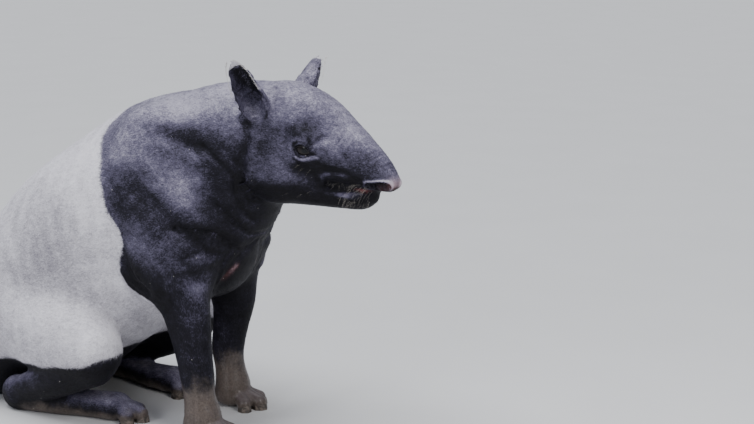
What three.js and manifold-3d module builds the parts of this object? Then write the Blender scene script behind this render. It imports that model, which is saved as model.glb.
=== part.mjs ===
// A Malayan tapir sitting on its haunches, life size, in millimetres.
// +X is the way the body faces, +Y its left side, +Z up, and the floor is z = 0.
// The flesh is one smooth field of rounded forms. It is meshed region by region and parted with thin plane cuts.
import * as THREE from "three";
import { mergeVertices } from "three/addons/utils/BufferGeometryUtils.js";
import Module from "manifold-3d";

const wasm = await Module();
wasm.setup();

// Driving dimensions
const CHEST_DEPTH = 560; // withers to breastbone
const CHEST_HALF_WIDTH = 225;
const BELLY_HALF_WIDTH = 268;
const HIP_HALF_WIDTH = 238;
const NECK_HALF_WIDTH = 142;
const HEAD_TURN = THREE.MathUtils.degToRad(-5); // the head looks a little to the animal's right
const HEAD_PIVOT = new THREE.Vector3(100, 0, 0);
const CUT_GAP = 0.3; // clear space between neighbouring nodes
const FLOOR_REACH = 3000; // size of the blocks that cut with a plane
const MIDDLE = -234; // where the model's middle lies along X; it becomes the origin

// Colours
const BLACK_COAT = new THREE.MeshStandardMaterial({ color: 0x2b2a30, roughness: 0.7 });
const WHITE_COAT = new THREE.MeshStandardMaterial({ color: 0xc9c6cb, roughness: 0.75 });
const HOOF_HORN = new THREE.MeshStandardMaterial({ color: 0x4a4440, roughness: 0.5 });
const EYE_GLOSS = new THREE.MeshStandardMaterial({ color: 0x1a120c, roughness: 0.08 });

const clamp01 = (t) => Math.min(1, Math.max(0, t));
const lerp = (a, b, t) => a + (b - a) * t;

// Smooth joins of two distances, rounded over k millimetres
function join(a, b, k) {
  const h = Math.max(k - Math.abs(a - b), 0) / k;
  return Math.min(a, b) - (h * h * k) / 4;
}

// A rounded form round a centre
function ball(x, y, z, rx, ry, rz, pitch = 0) {
  const c = Math.cos(THREE.MathUtils.degToRad(pitch));
  const s = Math.sin(THREE.MathUtils.degToRad(pitch));
  return (px, py, pz) => {
    const dx = px - x;
    const dz = pz - z;
    const u = (c * dx + s * dz) / rx;
    const v = (py - y) / ry;
    const w = (c * dz - s * dx) / rz;
    const k0 = Math.hypot(u, v, w);
    const k1 = Math.hypot(u / rx, v / ry, w / rz);
    return k1 < 1e-9 ? -Math.min(rx, ry, rz) : (k0 * (k0 - 1)) / k1;
  };
}

// Stations between the given ones, on a Catmull-Rom spline
function fillStations(stations, steps) {
  const at = (i) => stations[Math.min(stations.length - 1, Math.max(0, i))];
  const filled = [];
  for (let i = 0; i < stations.length - 1; i++) {
    const [p, q, r, s] = [at(i - 1), at(i), at(i + 1), at(i + 2)];
    for (let j = 0; j < steps; j++) {
      const t = j / steps;
      filled.push(q.map((_, n) =>
        0.5 * (2 * q[n] + (r[n] - p[n]) * t + (2 * p[n] - 5 * q[n] + 4 * r[n] - s[n]) * t * t +
          (3 * q[n] - p[n] - 3 * r[n] + s[n]) * t * t * t)));
    }
  }
  filled.push(at(stations.length - 1));
  return filled;
}

// A limb or trunk through stations [x, y, z, half width, half depth]; the width runs along Y
function tube(stations, steps = 4) {
  const rings = fillStations(stations, steps);
  const spans = rings.slice(1).map((end, i) => {
    const start = rings[i];
    const d = [end[0] - start[0], end[1] - start[1], end[2] - start[2]];
    const length = Math.hypot(...d);
    const t = d.map((v) => v / length);
    const side = [-t[1] * t[0], 1 - t[1] * t[1], -t[1] * t[2]];
    const sideLength = Math.hypot(...side);
    const s = side.map((v) => v / sideLength);
    const up = [t[1] * s[2] - t[2] * s[1], t[2] * s[0] - t[0] * s[2], t[0] * s[1] - t[1] * s[0]];
    return { start, end, t, s, up, length };
  });
  return (px, py, pz) => {
    let best = Infinity;
    for (const { start, end, t, s, up, length } of spans) {
      const qx = px - start[0];
      const qy = py - start[1];
      const qz = pz - start[2];
      const along = qx * t[0] + qy * t[1] + qz * t[2];
      const share = clamp01(along / length);
      const a = along - share * length;
      const w = qx * s[0] + qy * s[1] + qz * s[2];
      const h = qx * up[0] + qy * up[1] + qz * up[2];
      const rw = lerp(start[3], end[3], share);
      const rh = lerp(start[4], end[4], share);
      const ra = Math.min(rw, rh);
      const k0 = Math.hypot(w / rw, h / rh, a / ra);
      const k1 = Math.hypot(w / (rw * rw), h / (rh * rh), a / (ra * ra));
      const d = k1 < 1e-9 ? -ra : (k0 * (k0 - 1)) / k1;
      if (d < best) best = d;
    }
    return best;
  };
}

// Several forms joined smoothly over k
function joined(k, forms) {
  return (x, y, z) => forms.reduce((d, form) => join(d, form(x, y, z), k), Infinity);
}

// A hollow (depth > 0) or ridge (depth < 0) of that depth along a line of points
function crease(points, width, depth) {
  return (x, y, z) => {
    let near = Infinity;
    for (let i = 0; i < points.length - 1; i++) {
      const [a, b] = [points[i], points[i + 1]];
      const d = [b[0] - a[0], b[1] - a[1], b[2] - a[2]];
      const t = clamp01(((x - a[0]) * d[0] + (y - a[1]) * d[1] + (z - a[2]) * d[2]) /
        (d[0] * d[0] + d[1] * d[1] + d[2] * d[2]));
      near = Math.min(near, Math.hypot(x - a[0] - t * d[0], y - a[1] - t * d[1], z - a[2] - t * d[2]));
    }
    return depth * Math.exp(-((near / width) ** 2));
  };
}

// Both sides of a symmetric form
const mirrored = (form) => (x, y, z) => form(x, -Math.abs(y), z);

// Trunk: rump, belly, chest and neck
const trunk = joined(60, [
  tube([
    [-800, 0, 235, 190, 180],
    [-740, 0, 275, HIP_HALF_WIDTH, 224],
    [-640, 0, 355, HIP_HALF_WIDTH + 12, 250],
    [-500, 0, 460, BELLY_HALF_WIDTH, 276],
    [-340, 0, 560, BELLY_HALF_WIDTH - 8, CHEST_DEPTH / 2],
    [-190, 0, 648, CHEST_HALF_WIDTH, CHEST_DEPTH / 2],
    [-80, 0, 716, 190, 246],
    [0, 0, 782, 156, 200],
    [96, 0, 832, NECK_HALF_WIDTH - 18, 160],
  ]),
  // Breast, between and ahead of the forelegs
  ball(-62, 0, 500, 110, 145, 130),
  mirrored(ball(-112, -142, 560, 112, 98, 185, -14)),
  // Shoulder blades
  mirrored(ball(-150, -120, 760, 120, 95, 150, 20)),
  // Sagging belly
  ball(-400, 0, 352, 235, 225, 165, 22),
  ball(-560, 0, 260, 220, 215, 190, 30),
  // Buttocks
  mirrored(ball(-800, -105, 157, 150, 135, 165)),
]);

// Head, modelled facing straight ahead
const skull = tube([
  [140, 0, 848, 88, 138],
  [215, 0, 852, 98, 142],
  [290, 0, 842, 95, 126],
  [355, 0, 824, 80, 98],
  [415, 0, 798, 63, 82],
  [465, 0, 781, 53, 61],
  [505, 0, 764, 45, 39],
  [528, 0, 751, 36, 26],
], 4);
const jaw = tube([
  [170, 0, 742, 84, 84],
  [245, 0, 722, 74, 60],
  [320, 0, 707, 54, 43],
  [390, 0, 702, 42, 36],
  [440, 0, 702, 36, 33],
  [466, 0, 708, 28, 25],
], 4);
const cheek = mirrored(ball(200, -56, 768, 92, 60, 98, -12));
const brow = mirrored(ball(300, -66, 862, 46, 30, 26, -20));
const eyeBag = mirrored(ball(318, -74, 800, 30, 18, 14));
const headForms = joined(26, [skull, jaw, cheek, brow, eyeBag]);
const headCreases = [
  // The hollow ahead of and under the eye
  mirrored(crease([[350, -88, 812], [385, -74, 775], [430, -60, 748]], 15, 5)),
  // Behind the brow
  mirrored(crease([[262, -92, 850], [240, -98, 900]], 26, 4)),
];
const headField = (x, y, z) => {
  const c = Math.cos(-HEAD_TURN);
  const s = Math.sin(-HEAD_TURN);
  const [dx, dy] = [x - HEAD_PIVOT.x, y - HEAD_PIVOT.y];
  const [hx, hy] = [HEAD_PIVOT.x + c * dx - s * dy, HEAD_PIVOT.y + s * dx + c * dy];
  return headCreases.reduce((d, line) => d + line(hx, hy, z), headForms(hx, hy, z));
};

// A foot's toes: [direction in degrees from straight ahead, reach, radius, height of the tip]
const FORE_TOES = [[32, 70, 22, 20], [-2, 84, 23, 20], [-36, 70, 22, 20], [-88, 60, 16, 32]];
const HIND_TOES = [[44, 64, 22, 20], [10, 80, 23, 20], [-24, 64, 22, 20]];
const toePoint = ([turn, reach, , height], [x, y], out, share = 1) => {
  const a = THREE.MathUtils.degToRad(turn) * -out;
  return [x + Math.cos(a) * reach * share, y + Math.sin(a) * reach * share, height];
};

// Legs, from the right side (out = -1) or the left (out = 1)
const FORE_FOOT = { right: [-4, -140], left: [-98, 138] };
const FORE_WRIST = { right: -26, left: -120 };
const FORE_ELBOW = { right: -62, left: -88 };
const HIND_FOOT = { right: [-322, -136], left: [-330, 150] };
const sides = [["right", -1], ["left", 1]];

function foreleg(side, out) {
  const [fx, fy] = FORE_FOOT[side];
  const wrist = FORE_WRIST[side];
  const elbow = FORE_ELBOW[side];
  return joined(22, [
    tube([
      [-95, out * 138, 520, 76, 104],
      [elbow - 14, out * 144, 430, 66, 78],
      [lerp(elbow, wrist, 0.3), out * 143, 335, 58, 68],
      [lerp(elbow, wrist, 0.7), out * 140, 240, 48, 55],
      [wrist, fy, 170, 46, 50],
      [wrist + 6, fy, 118, 44, 46],
      [fx - 6, fy, 62, 54, 52],
    ]),
    ball(fx - 10, fy, 30, 56, 50, 34),
  ]);
}
// The elbow stands out behind the forearm
const elbowPoint = (out) => ball(-150, out * 128, 425, 54, 50, 64, 25);

const thigh = (out) => tube([
  [-650, out * 130, 300, 135, 165],
  [-520, out * 178, 268, 122, 150],
  [-400, out * 212, 242, 100, 122],
  [-318, out * 226, 222, 80, 92],
]);
function shank(side, out) {
  const [fx, fy] = HIND_FOOT[side];
  return joined(20, [
    tube([
      [-330, out * 226, 190, 62, 72],
      [-440, out * 224, 132, 58, 60],
      [-550, out * 214, 84, 48, 50],
      [-620, out * 204, 56, 40, 44],
    ]),
    ball(-640, out * 200, 46, 50, 38, 50),
    tube([
      [-620, out * 200, 36, 40, 42],
      [-500, out * 182, 34, 42, 38],
      [-410, (out * 166 + fy) / 2, 34, 46, 40],
      [fx, fy, 36, 52, 42],
    ]),
  ]);
}

const forelegs = sides.map(([side, out]) => foreleg(side, out));
const elbows = sides.map(([, out]) => elbowPoint(out));
const thighs = sides.map(([, out]) => thigh(out));
const shanks = sides.map(([side, out]) => shank(side, out));
const tail = tube([
  [-930, 0, 262, 42, 46],
  [-985, 0, 218, 27, 28],
  [-1008, 0, 165, 19, 18],
  [-1012, 0, 128, 12, 11],
]);

const bodyCreases = [
  // The fold behind the cheek and down to the throat
  mirrored(crease([[96, -120, 905], [84, -132, 800], [104, -122, 720], [150, -90, 655]], 20, 9)),
  // The fold in the neck above the shoulder
  mirrored(crease([[20, -150, 760], [48, -150, 690], [90, -120, 610]], 22, 7)),
  // The armpit and the line from the elbow up the flank
  mirrored(crease([[-215, -215, 420], [-250, -245, 540], [-255, -240, 640]], 30, 9)),
];

function flesh(x, y, z) {
  let d = join(trunk(x, y, z), headField(x, y, z), 34);
  for (const leg of forelegs) d = join(d, leg(x, y, z), 46);
  for (const form of elbows) d = join(d, form(x, y, z), 34);
  for (const form of thighs) d = join(d, form(x, y, z), 40);
  for (const form of shanks) d = join(d, form(x, y, z), 14);
  return bodyCreases.reduce((sum, line) => sum + line(x, y, z), d);
}

// The surface where a field is 0, in cells of one size inside a box, closed at the box's walls
function surfaceOf(field, low, high, cell, level = 0) {
  const n = low.map((v, i) => Math.ceil((high[i] - v) / cell) + 1);
  const inBox = (x, y, z) => Math.max(
    low[0] + 1.2 * cell - x, x - high[0] + 1.2 * cell,
    low[1] + 1.2 * cell - y, y - high[1] + 1.2 * cell,
    low[2] + 1.2 * cell - z, z - high[2] + 1.2 * cell);
  const clipped = (x, y, z) => Math.max(field(x, y, z) - level, inBox(x, y, z));
  const index = (i, j, k) => i + n[0] * (j + n[1] * k);
  const values = new Float64Array(n[0] * n[1] * n[2]);
  for (let k = 0; k < n[2]; k++)
    for (let j = 0; j < n[1]; j++)
      for (let i = 0; i < n[0]; i++)
        values[index(i, j, k)] = clipped(low[0] + i * cell, low[1] + j * cell, low[2] + k * cell);
  const corners = [0, 1, 2, 3, 4, 5, 6, 7].map((c) => [c & 1, (c >> 1) & 1, (c >> 2) & 1]);
  const edges = corners.flatMap((a, p) => corners.flatMap((b, q) =>
    q > p && Math.abs(a[0] - b[0]) + Math.abs(a[1] - b[1]) + Math.abs(a[2] - b[2]) === 1 ? [[p, q]] : []));
  const vertexOf = new Map();
  const positions = [];
  for (let k = 0; k < n[2] - 1; k++)
    for (let j = 0; j < n[1] - 1; j++)
      for (let i = 0; i < n[0] - 1; i++) {
        const v = corners.map(([a, b, c]) => values[index(i + a, j + b, k + c)]);
        const cross = edges.filter(([p, q]) => v[p] < 0 !== v[q] < 0);
        if (!cross.length) continue;
        const sum = [0, 0, 0];
        for (const [p, q] of cross) {
          const t = v[p] / (v[p] - v[q]);
          for (let a = 0; a < 3; a++) sum[a] += lerp(corners[p][a], corners[q][a], t);
        }
        const at = [i, j, k].map((c, a) => low[a] + (c + sum[a] / cross.length) * cell);
        vertexOf.set(index(i, j, k), positions.length / 3);
        positions.push(...settle(clipped, at, cell));
      }
  const faces = [];
  const step = [[1, 0, 0], [0, 1, 0], [0, 0, 1]];
  for (let k = 1; k < n[2] - 1; k++)
    for (let j = 1; j < n[1] - 1; j++)
      for (let i = 1; i < n[0] - 1; i++)
        for (let a = 0; a < 3; a++) {
          const here = values[index(i, j, k)];
          const there = values[index(i + step[a][0], j + step[a][1], k + step[a][2])];
          if (here < 0 === there < 0) continue;
          const u = step[(a + 1) % 3];
          const w = step[(a + 2) % 3];
          const quad = [[0, 0], [1, 0], [1, 1], [0, 1]].map(([p, q]) =>
            vertexOf.get(index(i - p * u[0] - q * w[0], j - p * u[1] - q * w[1], k - p * u[2] - q * w[2])));
          if (here < 0) faces.push(quad[0], quad[1], quad[2], quad[0], quad[2], quad[3]);
          else faces.push(quad[0], quad[2], quad[1], quad[0], quad[3], quad[2]);
        }
  const geometry = new THREE.BufferGeometry();
  geometry.setAttribute("position", new THREE.Float32BufferAttribute(positions, 3));
  geometry.setIndex(faces);
  return geometry;
}

// Moves a point along the field's slope onto its surface, by at most 0.45 of a cell
function settle(field, [x, y, z], cell) {
  const h = cell * 0.1;
  const start = [x, y, z];
  for (let n = 0; n < 3; n++) {
    const d = field(x, y, z);
    const g = [
      (field(x + h, y, z) - field(x - h, y, z)) / (2 * h),
      (field(x, y + h, z) - field(x, y - h, z)) / (2 * h),
      (field(x, y, z + h) - field(x, y, z - h)) / (2 * h),
    ];
    const steep = g[0] * g[0] + g[1] * g[1] + g[2] * g[2];
    if (steep < 0.05) break;
    x -= (d * g[0]) / steep;
    y -= (d * g[1]) / steep;
    z -= (d * g[2]) / steep;
  }
  const keep = (v, s) => Math.min(s + 0.45 * cell, Math.max(s - 0.45 * cell, v));
  return [keep(x, start[0]), keep(y, start[1]), keep(z, start[2])];
}

// Solids and back
function solidOf(geometry) {
  const plain = geometry.clone();
  plain.deleteAttribute("normal");
  plain.deleteAttribute("uv");
  const merged = mergeVertices(plain, 1e-3);
  const points = merged.attributes.position.array;
  const faces = new Uint32Array(merged.index.array);
  // A mirrored shape has its faces turned the right way out
  let volume = 0;
  for (let i = 0; i < faces.length; i += 3) {
    const [a, b, c] = [0, 1, 2].map((n) => new THREE.Vector3().fromArray(points, faces[i + n] * 3));
    volume += a.dot(b.cross(c));
  }
  if (volume < 0) faces.reverse();
  return new wasm.Manifold(new wasm.Mesh({ numProp: 3, vertProperties: points, triVerts: faces }));
}

function geometryOf(solid) {
  const mesh = solid.getMesh();
  const geometry = new THREE.BufferGeometry();
  geometry.setAttribute("position", new THREE.BufferAttribute(mesh.vertProperties.slice(), 3));
  geometry.setIndex(new THREE.BufferAttribute(mesh.triVerts.slice(), 1));
  return geometry;
}

const largest = (solid) => solid.decompose().sort((a, b) => b.volume() - a.volume())[0];
const union = (solids) => solids.reduce((all, solid) => all.add(solid));

// A closed shape through rings of equally many points; each ring's second half runs back along its first
function loft(rings, closed = false) {
  const count = rings[0].length;
  const faces = [];
  for (let r = 0; r < rings.length - (closed ? 0 : 1); r++) {
    const next = ((r + 1) % rings.length) * count;
    for (let i = 0; i < count; i++) {
      const j = (i + 1) % count;
      faces.push(r * count + i, r * count + j, next + j, r * count + i, next + j, next + i);
    }
  }
  const end = (rings.length - 1) * count;
  for (let i = 0; i < count / 2 - 1 && !closed; i++) {
    const [a, b, c, d] = [i, i + 1, count - 2 - i, count - 1 - i];
    faces.push(a, c, b, a, d, c, end + a, end + b, end + c, end + a, end + c, end + d);
  }
  const geometry = new THREE.BufferGeometry();
  geometry.setAttribute("position", new THREE.Float32BufferAttribute(rings.flat(2), 3));
  geometry.setIndex(faces);
  return geometry;
}

// A round cord along points, its rings set square to the path; facing is any direction off the path
function cord(points, radii, facing, closed = false, sides = 8) {
  const path = points.map((p) => new THREE.Vector3(...p));
  const n = path.length;
  const rings = path.map((p, i) => {
    const after = path[closed ? (i + 1) % n : Math.min(n - 1, i + 1)];
    const before = path[closed ? (i + n - 1) % n : Math.max(0, i - 1)];
    const along = after.clone().sub(before).normalize();
    const side = along.clone().cross(new THREE.Vector3(...facing)).normalize();
    const up = side.clone().cross(along);
    const radius = Array.isArray(radii) ? radii[i] : radii;
    return Array.from({ length: sides }, (_, k) => {
      const a = ((k + 0.5) / sides) * 2 * Math.PI;
      return p.clone().addScaledVector(side, radius * Math.cos(a)).addScaledVector(up, radius * Math.sin(a)).toArray();
    });
  });
  return loft(rings, closed);
}

// The half of space behind a plane through a point, set back by half the gap
function behind(point, normal) {
  const n = new THREE.Vector3(...normal).normalize();
  const block = new THREE.BoxGeometry(FLOOR_REACH, FLOOR_REACH, FLOOR_REACH);
  block.applyQuaternion(new THREE.Quaternion().setFromUnitVectors(new THREE.Vector3(0, 0, 1), n));
  const centre = new THREE.Vector3(...point).addScaledVector(n, -FLOOR_REACH / 2 - CUT_GAP / 2);
  block.translate(centre.x, centre.y, centre.z);
  return solidOf(block);
}
const ahead = (point, normal) => behind(point, normal.map((v) => -v));

// Where two sheets of one surface touch along an edge, each draws back a little toward its own side
function parted(geometry) {
  const position = geometry.attributes.position;
  const around = Array.from({ length: position.count }, () => new Set());
  const faces = geometry.index.array;
  for (let i = 0; i < faces.length; i += 3)
    for (const [a, b] of [[0, 1], [1, 2], [2, 0]]) {
      around[faces[i + a]].add(faces[i + b]);
      around[faces[i + b]].add(faces[i + a]);
    }
  const places = new Map();
  const at = (i) => new THREE.Vector3().fromBufferAttribute(position, i);
  for (let i = 0; i < position.count; i++) {
    const key = at(i).toArray().map((v) => v.toFixed(3)).join();
    places.set(key, [...(places.get(key) ?? []), i]);
  }
  for (const group of places.values())
    for (const i of group.length > 1 ? group : []) {
      const middle = [...around[i]].reduce((sum, j) => sum.add(at(j)), new THREE.Vector3()).divideScalar(around[i].size);
      const moved = at(i).add(middle.sub(at(i)).setLength(0.08));
      position.setXYZ(i, moved.x, moved.y, moved.z);
    }
  return geometry;
}

const animal = new THREE.Group();
function addNode(name, solid, material) {
  const mesh = new THREE.Mesh(parted(geometryOf(largest(solid))).translate(-MIDDLE, 0, 0), material);
  mesh.name = name;
  animal.add(mesh);
}

const aboveFloor = ahead([0, 0, -CUT_GAP / 2], [0, 0, 1]);
const region = (low, high, cell, level = 0) =>
  solidOf(surfaceOf(flesh, low, high, cell, level)).intersect(aboveFloor);

// Planes that part the flesh
const CHEEK_PLANE = [[120, 0, 800], [0.93, -0.08, 0.26]];
const SHOULDER_PLANE = [[0, 0, 740], [0.86, 0, 0.42]];
const LOIN_PLANE = [[-560, 0, 400], [-0.80, 0, -0.60]];

// Head details are laid out on the right side of a head facing straight ahead
const headPlain = (x, y, z) => headCreases.reduce((d, line) => d + line(x, y, z), headForms(x, y, z));
function onCheek(x, z, lift = 0) {
  let [outside, inside] = [-160, 0];
  for (let n = 0; n < 24; n++) {
    const y = (outside + inside) / 2;
    if (headPlain(x, y, z) > 0) outside = y;
    else inside = y;
  }
  return [x, inside - lift, z];
}
// Turns a right-side shape with the head, and mirrors it first for the left side
const placed = (geometry, out) => geometry
  .clone()
  .scale(1, -out, 1)
  .translate(-HEAD_PIVOT.x, -HEAD_PIVOT.y, 0)
  .rotateZ(HEAD_TURN)
  .translate(HEAD_PIVOT.x, HEAD_PIVOT.y, 0);

// Eye: a ball behind an almond opening between two raised lids
const EYE_RADIUS = 22;
const EYE_CENTRE = [314, -72, 829];
const EYE_OPENING = [20, 9]; // half length and half height
const EYE_SLANT = THREE.MathUtils.degToRad(-24);
const eyeball = (grow = 0) =>
  new THREE.SphereGeometry(EYE_RADIUS + grow, 14, 8).rotateX(Math.PI / 2).translate(...EYE_CENTRE);
const almond = (a, length, height) => [
  EYE_CENTRE[0] + 6 + Math.cos(a) * length * Math.cos(EYE_SLANT) - Math.sin(a) * height * Math.sin(EYE_SLANT),
  EYE_CENTRE[2] + Math.cos(a) * length * Math.sin(EYE_SLANT) + Math.sin(a) * height * Math.cos(EYE_SLANT),
];
const lidPath = Array.from({ length: 12 }, (_, i) =>
  onCheek(...almond((i / 12) * 2 * Math.PI, EYE_OPENING[0] + 3, EYE_OPENING[1] + 3), -1));
const lids = cord(lidPath, 4.5, [0.2, -1, 0], true, 5);
const eyeHollow = new THREE.SphereGeometry(1, 12, 6)
  .scale(EYE_OPENING[0], 15, EYE_OPENING[1])
  .rotateY(-EYE_SLANT)
  .rotateZ(0.18)
  .translate(EYE_CENTRE[0] + 6, EYE_CENTRE[1] - 16, EYE_CENTRE[2]);

// Nostril: a long hole with a rolled rim on the side of the snout's tip
const NOSTRIL = { x: 521, z: 745, length: 28, height: 9, depth: 15 };
const nostrilRim = cord(Array.from({ length: 12 }, (_, i) => {
  const a = (i / 12) * 2 * Math.PI;
  return onCheek(NOSTRIL.x + Math.cos(a) * (NOSTRIL.length + 1), NOSTRIL.z + Math.sin(a) * (NOSTRIL.height + 2), -1.5);
}), 3.6, [0.4, -1, 0], true, 5);
const nostrilHole = new THREE.SphereGeometry(1, 12, 6)
  .scale(NOSTRIL.length, NOSTRIL.depth, NOSTRIL.height)
  .rotateZ(0.32)
  .translate(NOSTRIL.x, onCheek(NOSTRIL.x, NOSTRIL.z)[1] + 2, NOSTRIL.z);

// Mouth: a closed line between an upper and a lower lip
const MOUTH = [[358, 718], [388, 717], [416, 720], [442, 724], [464, 725], [482, 724]];
const alongMouth = (drop, inset, radii, sides) =>
  cord(MOUTH.map(([x, z]) => onCheek(x, z - drop, -inset)), radii, [0, -1, 0.1], false, sides);
const upperLip = alongMouth(-7, 3, [2, 6, 7, 7, 6, 4], 5);
const lowerLip = alongMouth(8, 2.5, [2, 5, 6, 6, 5, 3], 5);
const mouthLine = alongMouth(0, -1, 3.2, 4);

// Ear: a cup rolled round its own bent axis, open outward and forward
const EAR_AXIS = [
  [156, -70, 905], [166, -102, 934], [168, -128, 964], [168, -152, 995], [166, -174, 1026], [163, -187, 1045], [161, -193, 1054],
];
const EAR_DROOP = { right: 0, left: -24 }; // how much lower the tip hangs on each side
const EAR_HALF_WIDTH = [35, 42, 42, 37, 29, 19, 9];
const EAR_ROLL = [150, 128, 112, 100, 88, 80, 70]; // half the angle each section wraps round
const EAR_THICKNESS = [26, 12, 7, 6, 5, 4.5, 3];
const EAR_OPENS = new THREE.Vector3(0.43, -0.7, -0.57);
function earCup(droop) {
  const axis = EAR_AXIS.map(([x, y, z], i) => {
    const share = (i / (EAR_AXIS.length - 1)) ** 2;
    return new THREE.Vector3(x - 0.4 * droop * share, y + 0.2 * droop * share, z + droop * share);
  });
  const rings = axis.map((p, i) => {
    const along = axis[Math.min(axis.length - 1, i + 1)].clone().sub(axis[Math.max(0, i - 1)]).normalize();
    const opens = EAR_OPENS.clone().addScaledVector(along, -EAR_OPENS.dot(along)).normalize();
    const across = opens.clone().cross(along);
    const wrap = THREE.MathUtils.degToRad(EAR_ROLL[i]);
    const radius = EAR_HALF_WIDTH[i] / Math.sin(Math.min(wrap, Math.PI / 2));
    const arc = (r, share) => p.clone()
      .addScaledVector(across, r * Math.sin(wrap * share))
      .addScaledVector(opens, -r * Math.cos(wrap * share)).toArray();
    const shares = Array.from({ length: 9 }, (_, k) => k / 4 - 1);
    return [
      ...shares.map((share) => arc(radius, share)),
      ...shares.toReversed().map((share) => arc(radius - EAR_THICKNESS[i], share)),
    ];
  });
  return loft(rings);
}

const HEAD_BOX = [[20, -230, 600], [600, 200, 1030], 20];
let headSolid = region(...HEAD_BOX).intersect(ahead(...CHEEK_PLANE));
const headRoom = region(...HEAD_BOX, CUT_GAP);
for (const [side, out] of sides) {
  const put = (geometry) => solidOf(placed(geometry, out));
  headSolid = union([headSolid, put(lids), put(nostrilRim), put(upperLip), put(lowerLip)]);
  headSolid = [eyeHollow, nostrilHole, mouthLine, eyeball(CUT_GAP)]
    .reduce((rest, cut) => rest.subtract(put(cut)), headSolid);
  addNode(`eye_${side}`, put(eyeball()), EYE_GLOSS);
  addNode(`ear_${side}`, put(earCup(EAR_DROOP[side])).subtract(headRoom), BLACK_COAT);
}
addNode("head", headSolid, BLACK_COAT);

// A toe's flesh, its hoof, and the slanting cut between them
function toeParts([turn, reach, radius, height], [x, y], out) {
  const a = THREE.MathUtils.degToRad(turn) * -out;
  const tip = new THREE.Vector3(x + Math.cos(a) * reach, y + Math.sin(a) * reach, height);
  const root = new THREE.Vector3(x, y, 50);
  const share = radius / 22;
  const flesh = new THREE.CapsuleGeometry(radius, tip.distanceTo(root), 3, 8);
  flesh.applyQuaternion(new THREE.Quaternion().setFromUnitVectors(
    new THREE.Vector3(0, 1, 0), tip.clone().sub(root).normalize()));
  flesh.translate(...tip.clone().add(root).multiplyScalar(0.5).toArray());
  const lift = Math.max(0, height - radius);
  const cut = (offset) => solidOf(new THREE.BoxGeometry(90, radius * 2 + 3, 130)
    .translate(45 + offset, 0, 0)
    .rotateY(0.64)
    .rotateZ(a)
    .translate(tip.x + Math.cos(a) * 2, tip.y + Math.sin(a) * 2, lift + 30 * share));
  const rows = [[lift, 21, 26], [lift + 16 * share, 20, 24], [lift + 36 * share, 13, 12]];
  const hoof = loft(rows.map(([z, halfWidth, front]) => {
    const arc = [-90, -45, 0, 45, 90].map(THREE.MathUtils.degToRad)
      .map((b) => [Math.cos(b) * front * share, Math.sin(b) * halfWidth * share]);
    const back = arc.toReversed().map(([, side]) => [-20 * share, side * 0.6]);
    return [...arc, ...back].map(([forward, side]) => [
      tip.x + Math.cos(a) * forward - Math.sin(a) * side,
      tip.y + Math.sin(a) * forward + Math.cos(a) * side, z]);
  }));
  return { flesh: solidOf(flesh), room: cut(-CUT_GAP / 2), hoof: solidOf(hoof).intersect(cut(CUT_GAP / 2)) };
}
function addFoot(name, solid, toes, foot, out) {
  const parts = toes.map((toe) => toeParts(toe, foot, out));
  const withToes = union([solid, ...parts.map((part) => part.flesh.intersect(aboveFloor))]);
  addNode(name, parts.reduce((rest, part) => rest.subtract(part.room), withToes), BLACK_COAT);
  parts.forEach((part, i) => addNode(`${name.replace("foot", "hoof")}_${i + 1}`, part.hoof, HOOF_HORN));
}

// Legs, each a corner of the body cut off by planes
const FORE_CUT = { height: 395, slope: 0.34, inside: 58, back: -228 };
const WRIST = 128;
const THIGH_CUT = { top: 395, inside: 162, back: -705 };
const KNEE = { x: -250, z: 196, slope: 0.2 };
const HOCK = { x: -585, z: 76, slope: 0.06, inside: 46 };

// What lies outside the corner that the given planes enclose
const outsideOf = (planes) => union(planes.map((plane) => ahead(...plane)));
const insideOf = (planes) => planes.slice(1).reduce((all, plane) => all.intersect(behind(...plane)), behind(...planes[0]));

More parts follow.
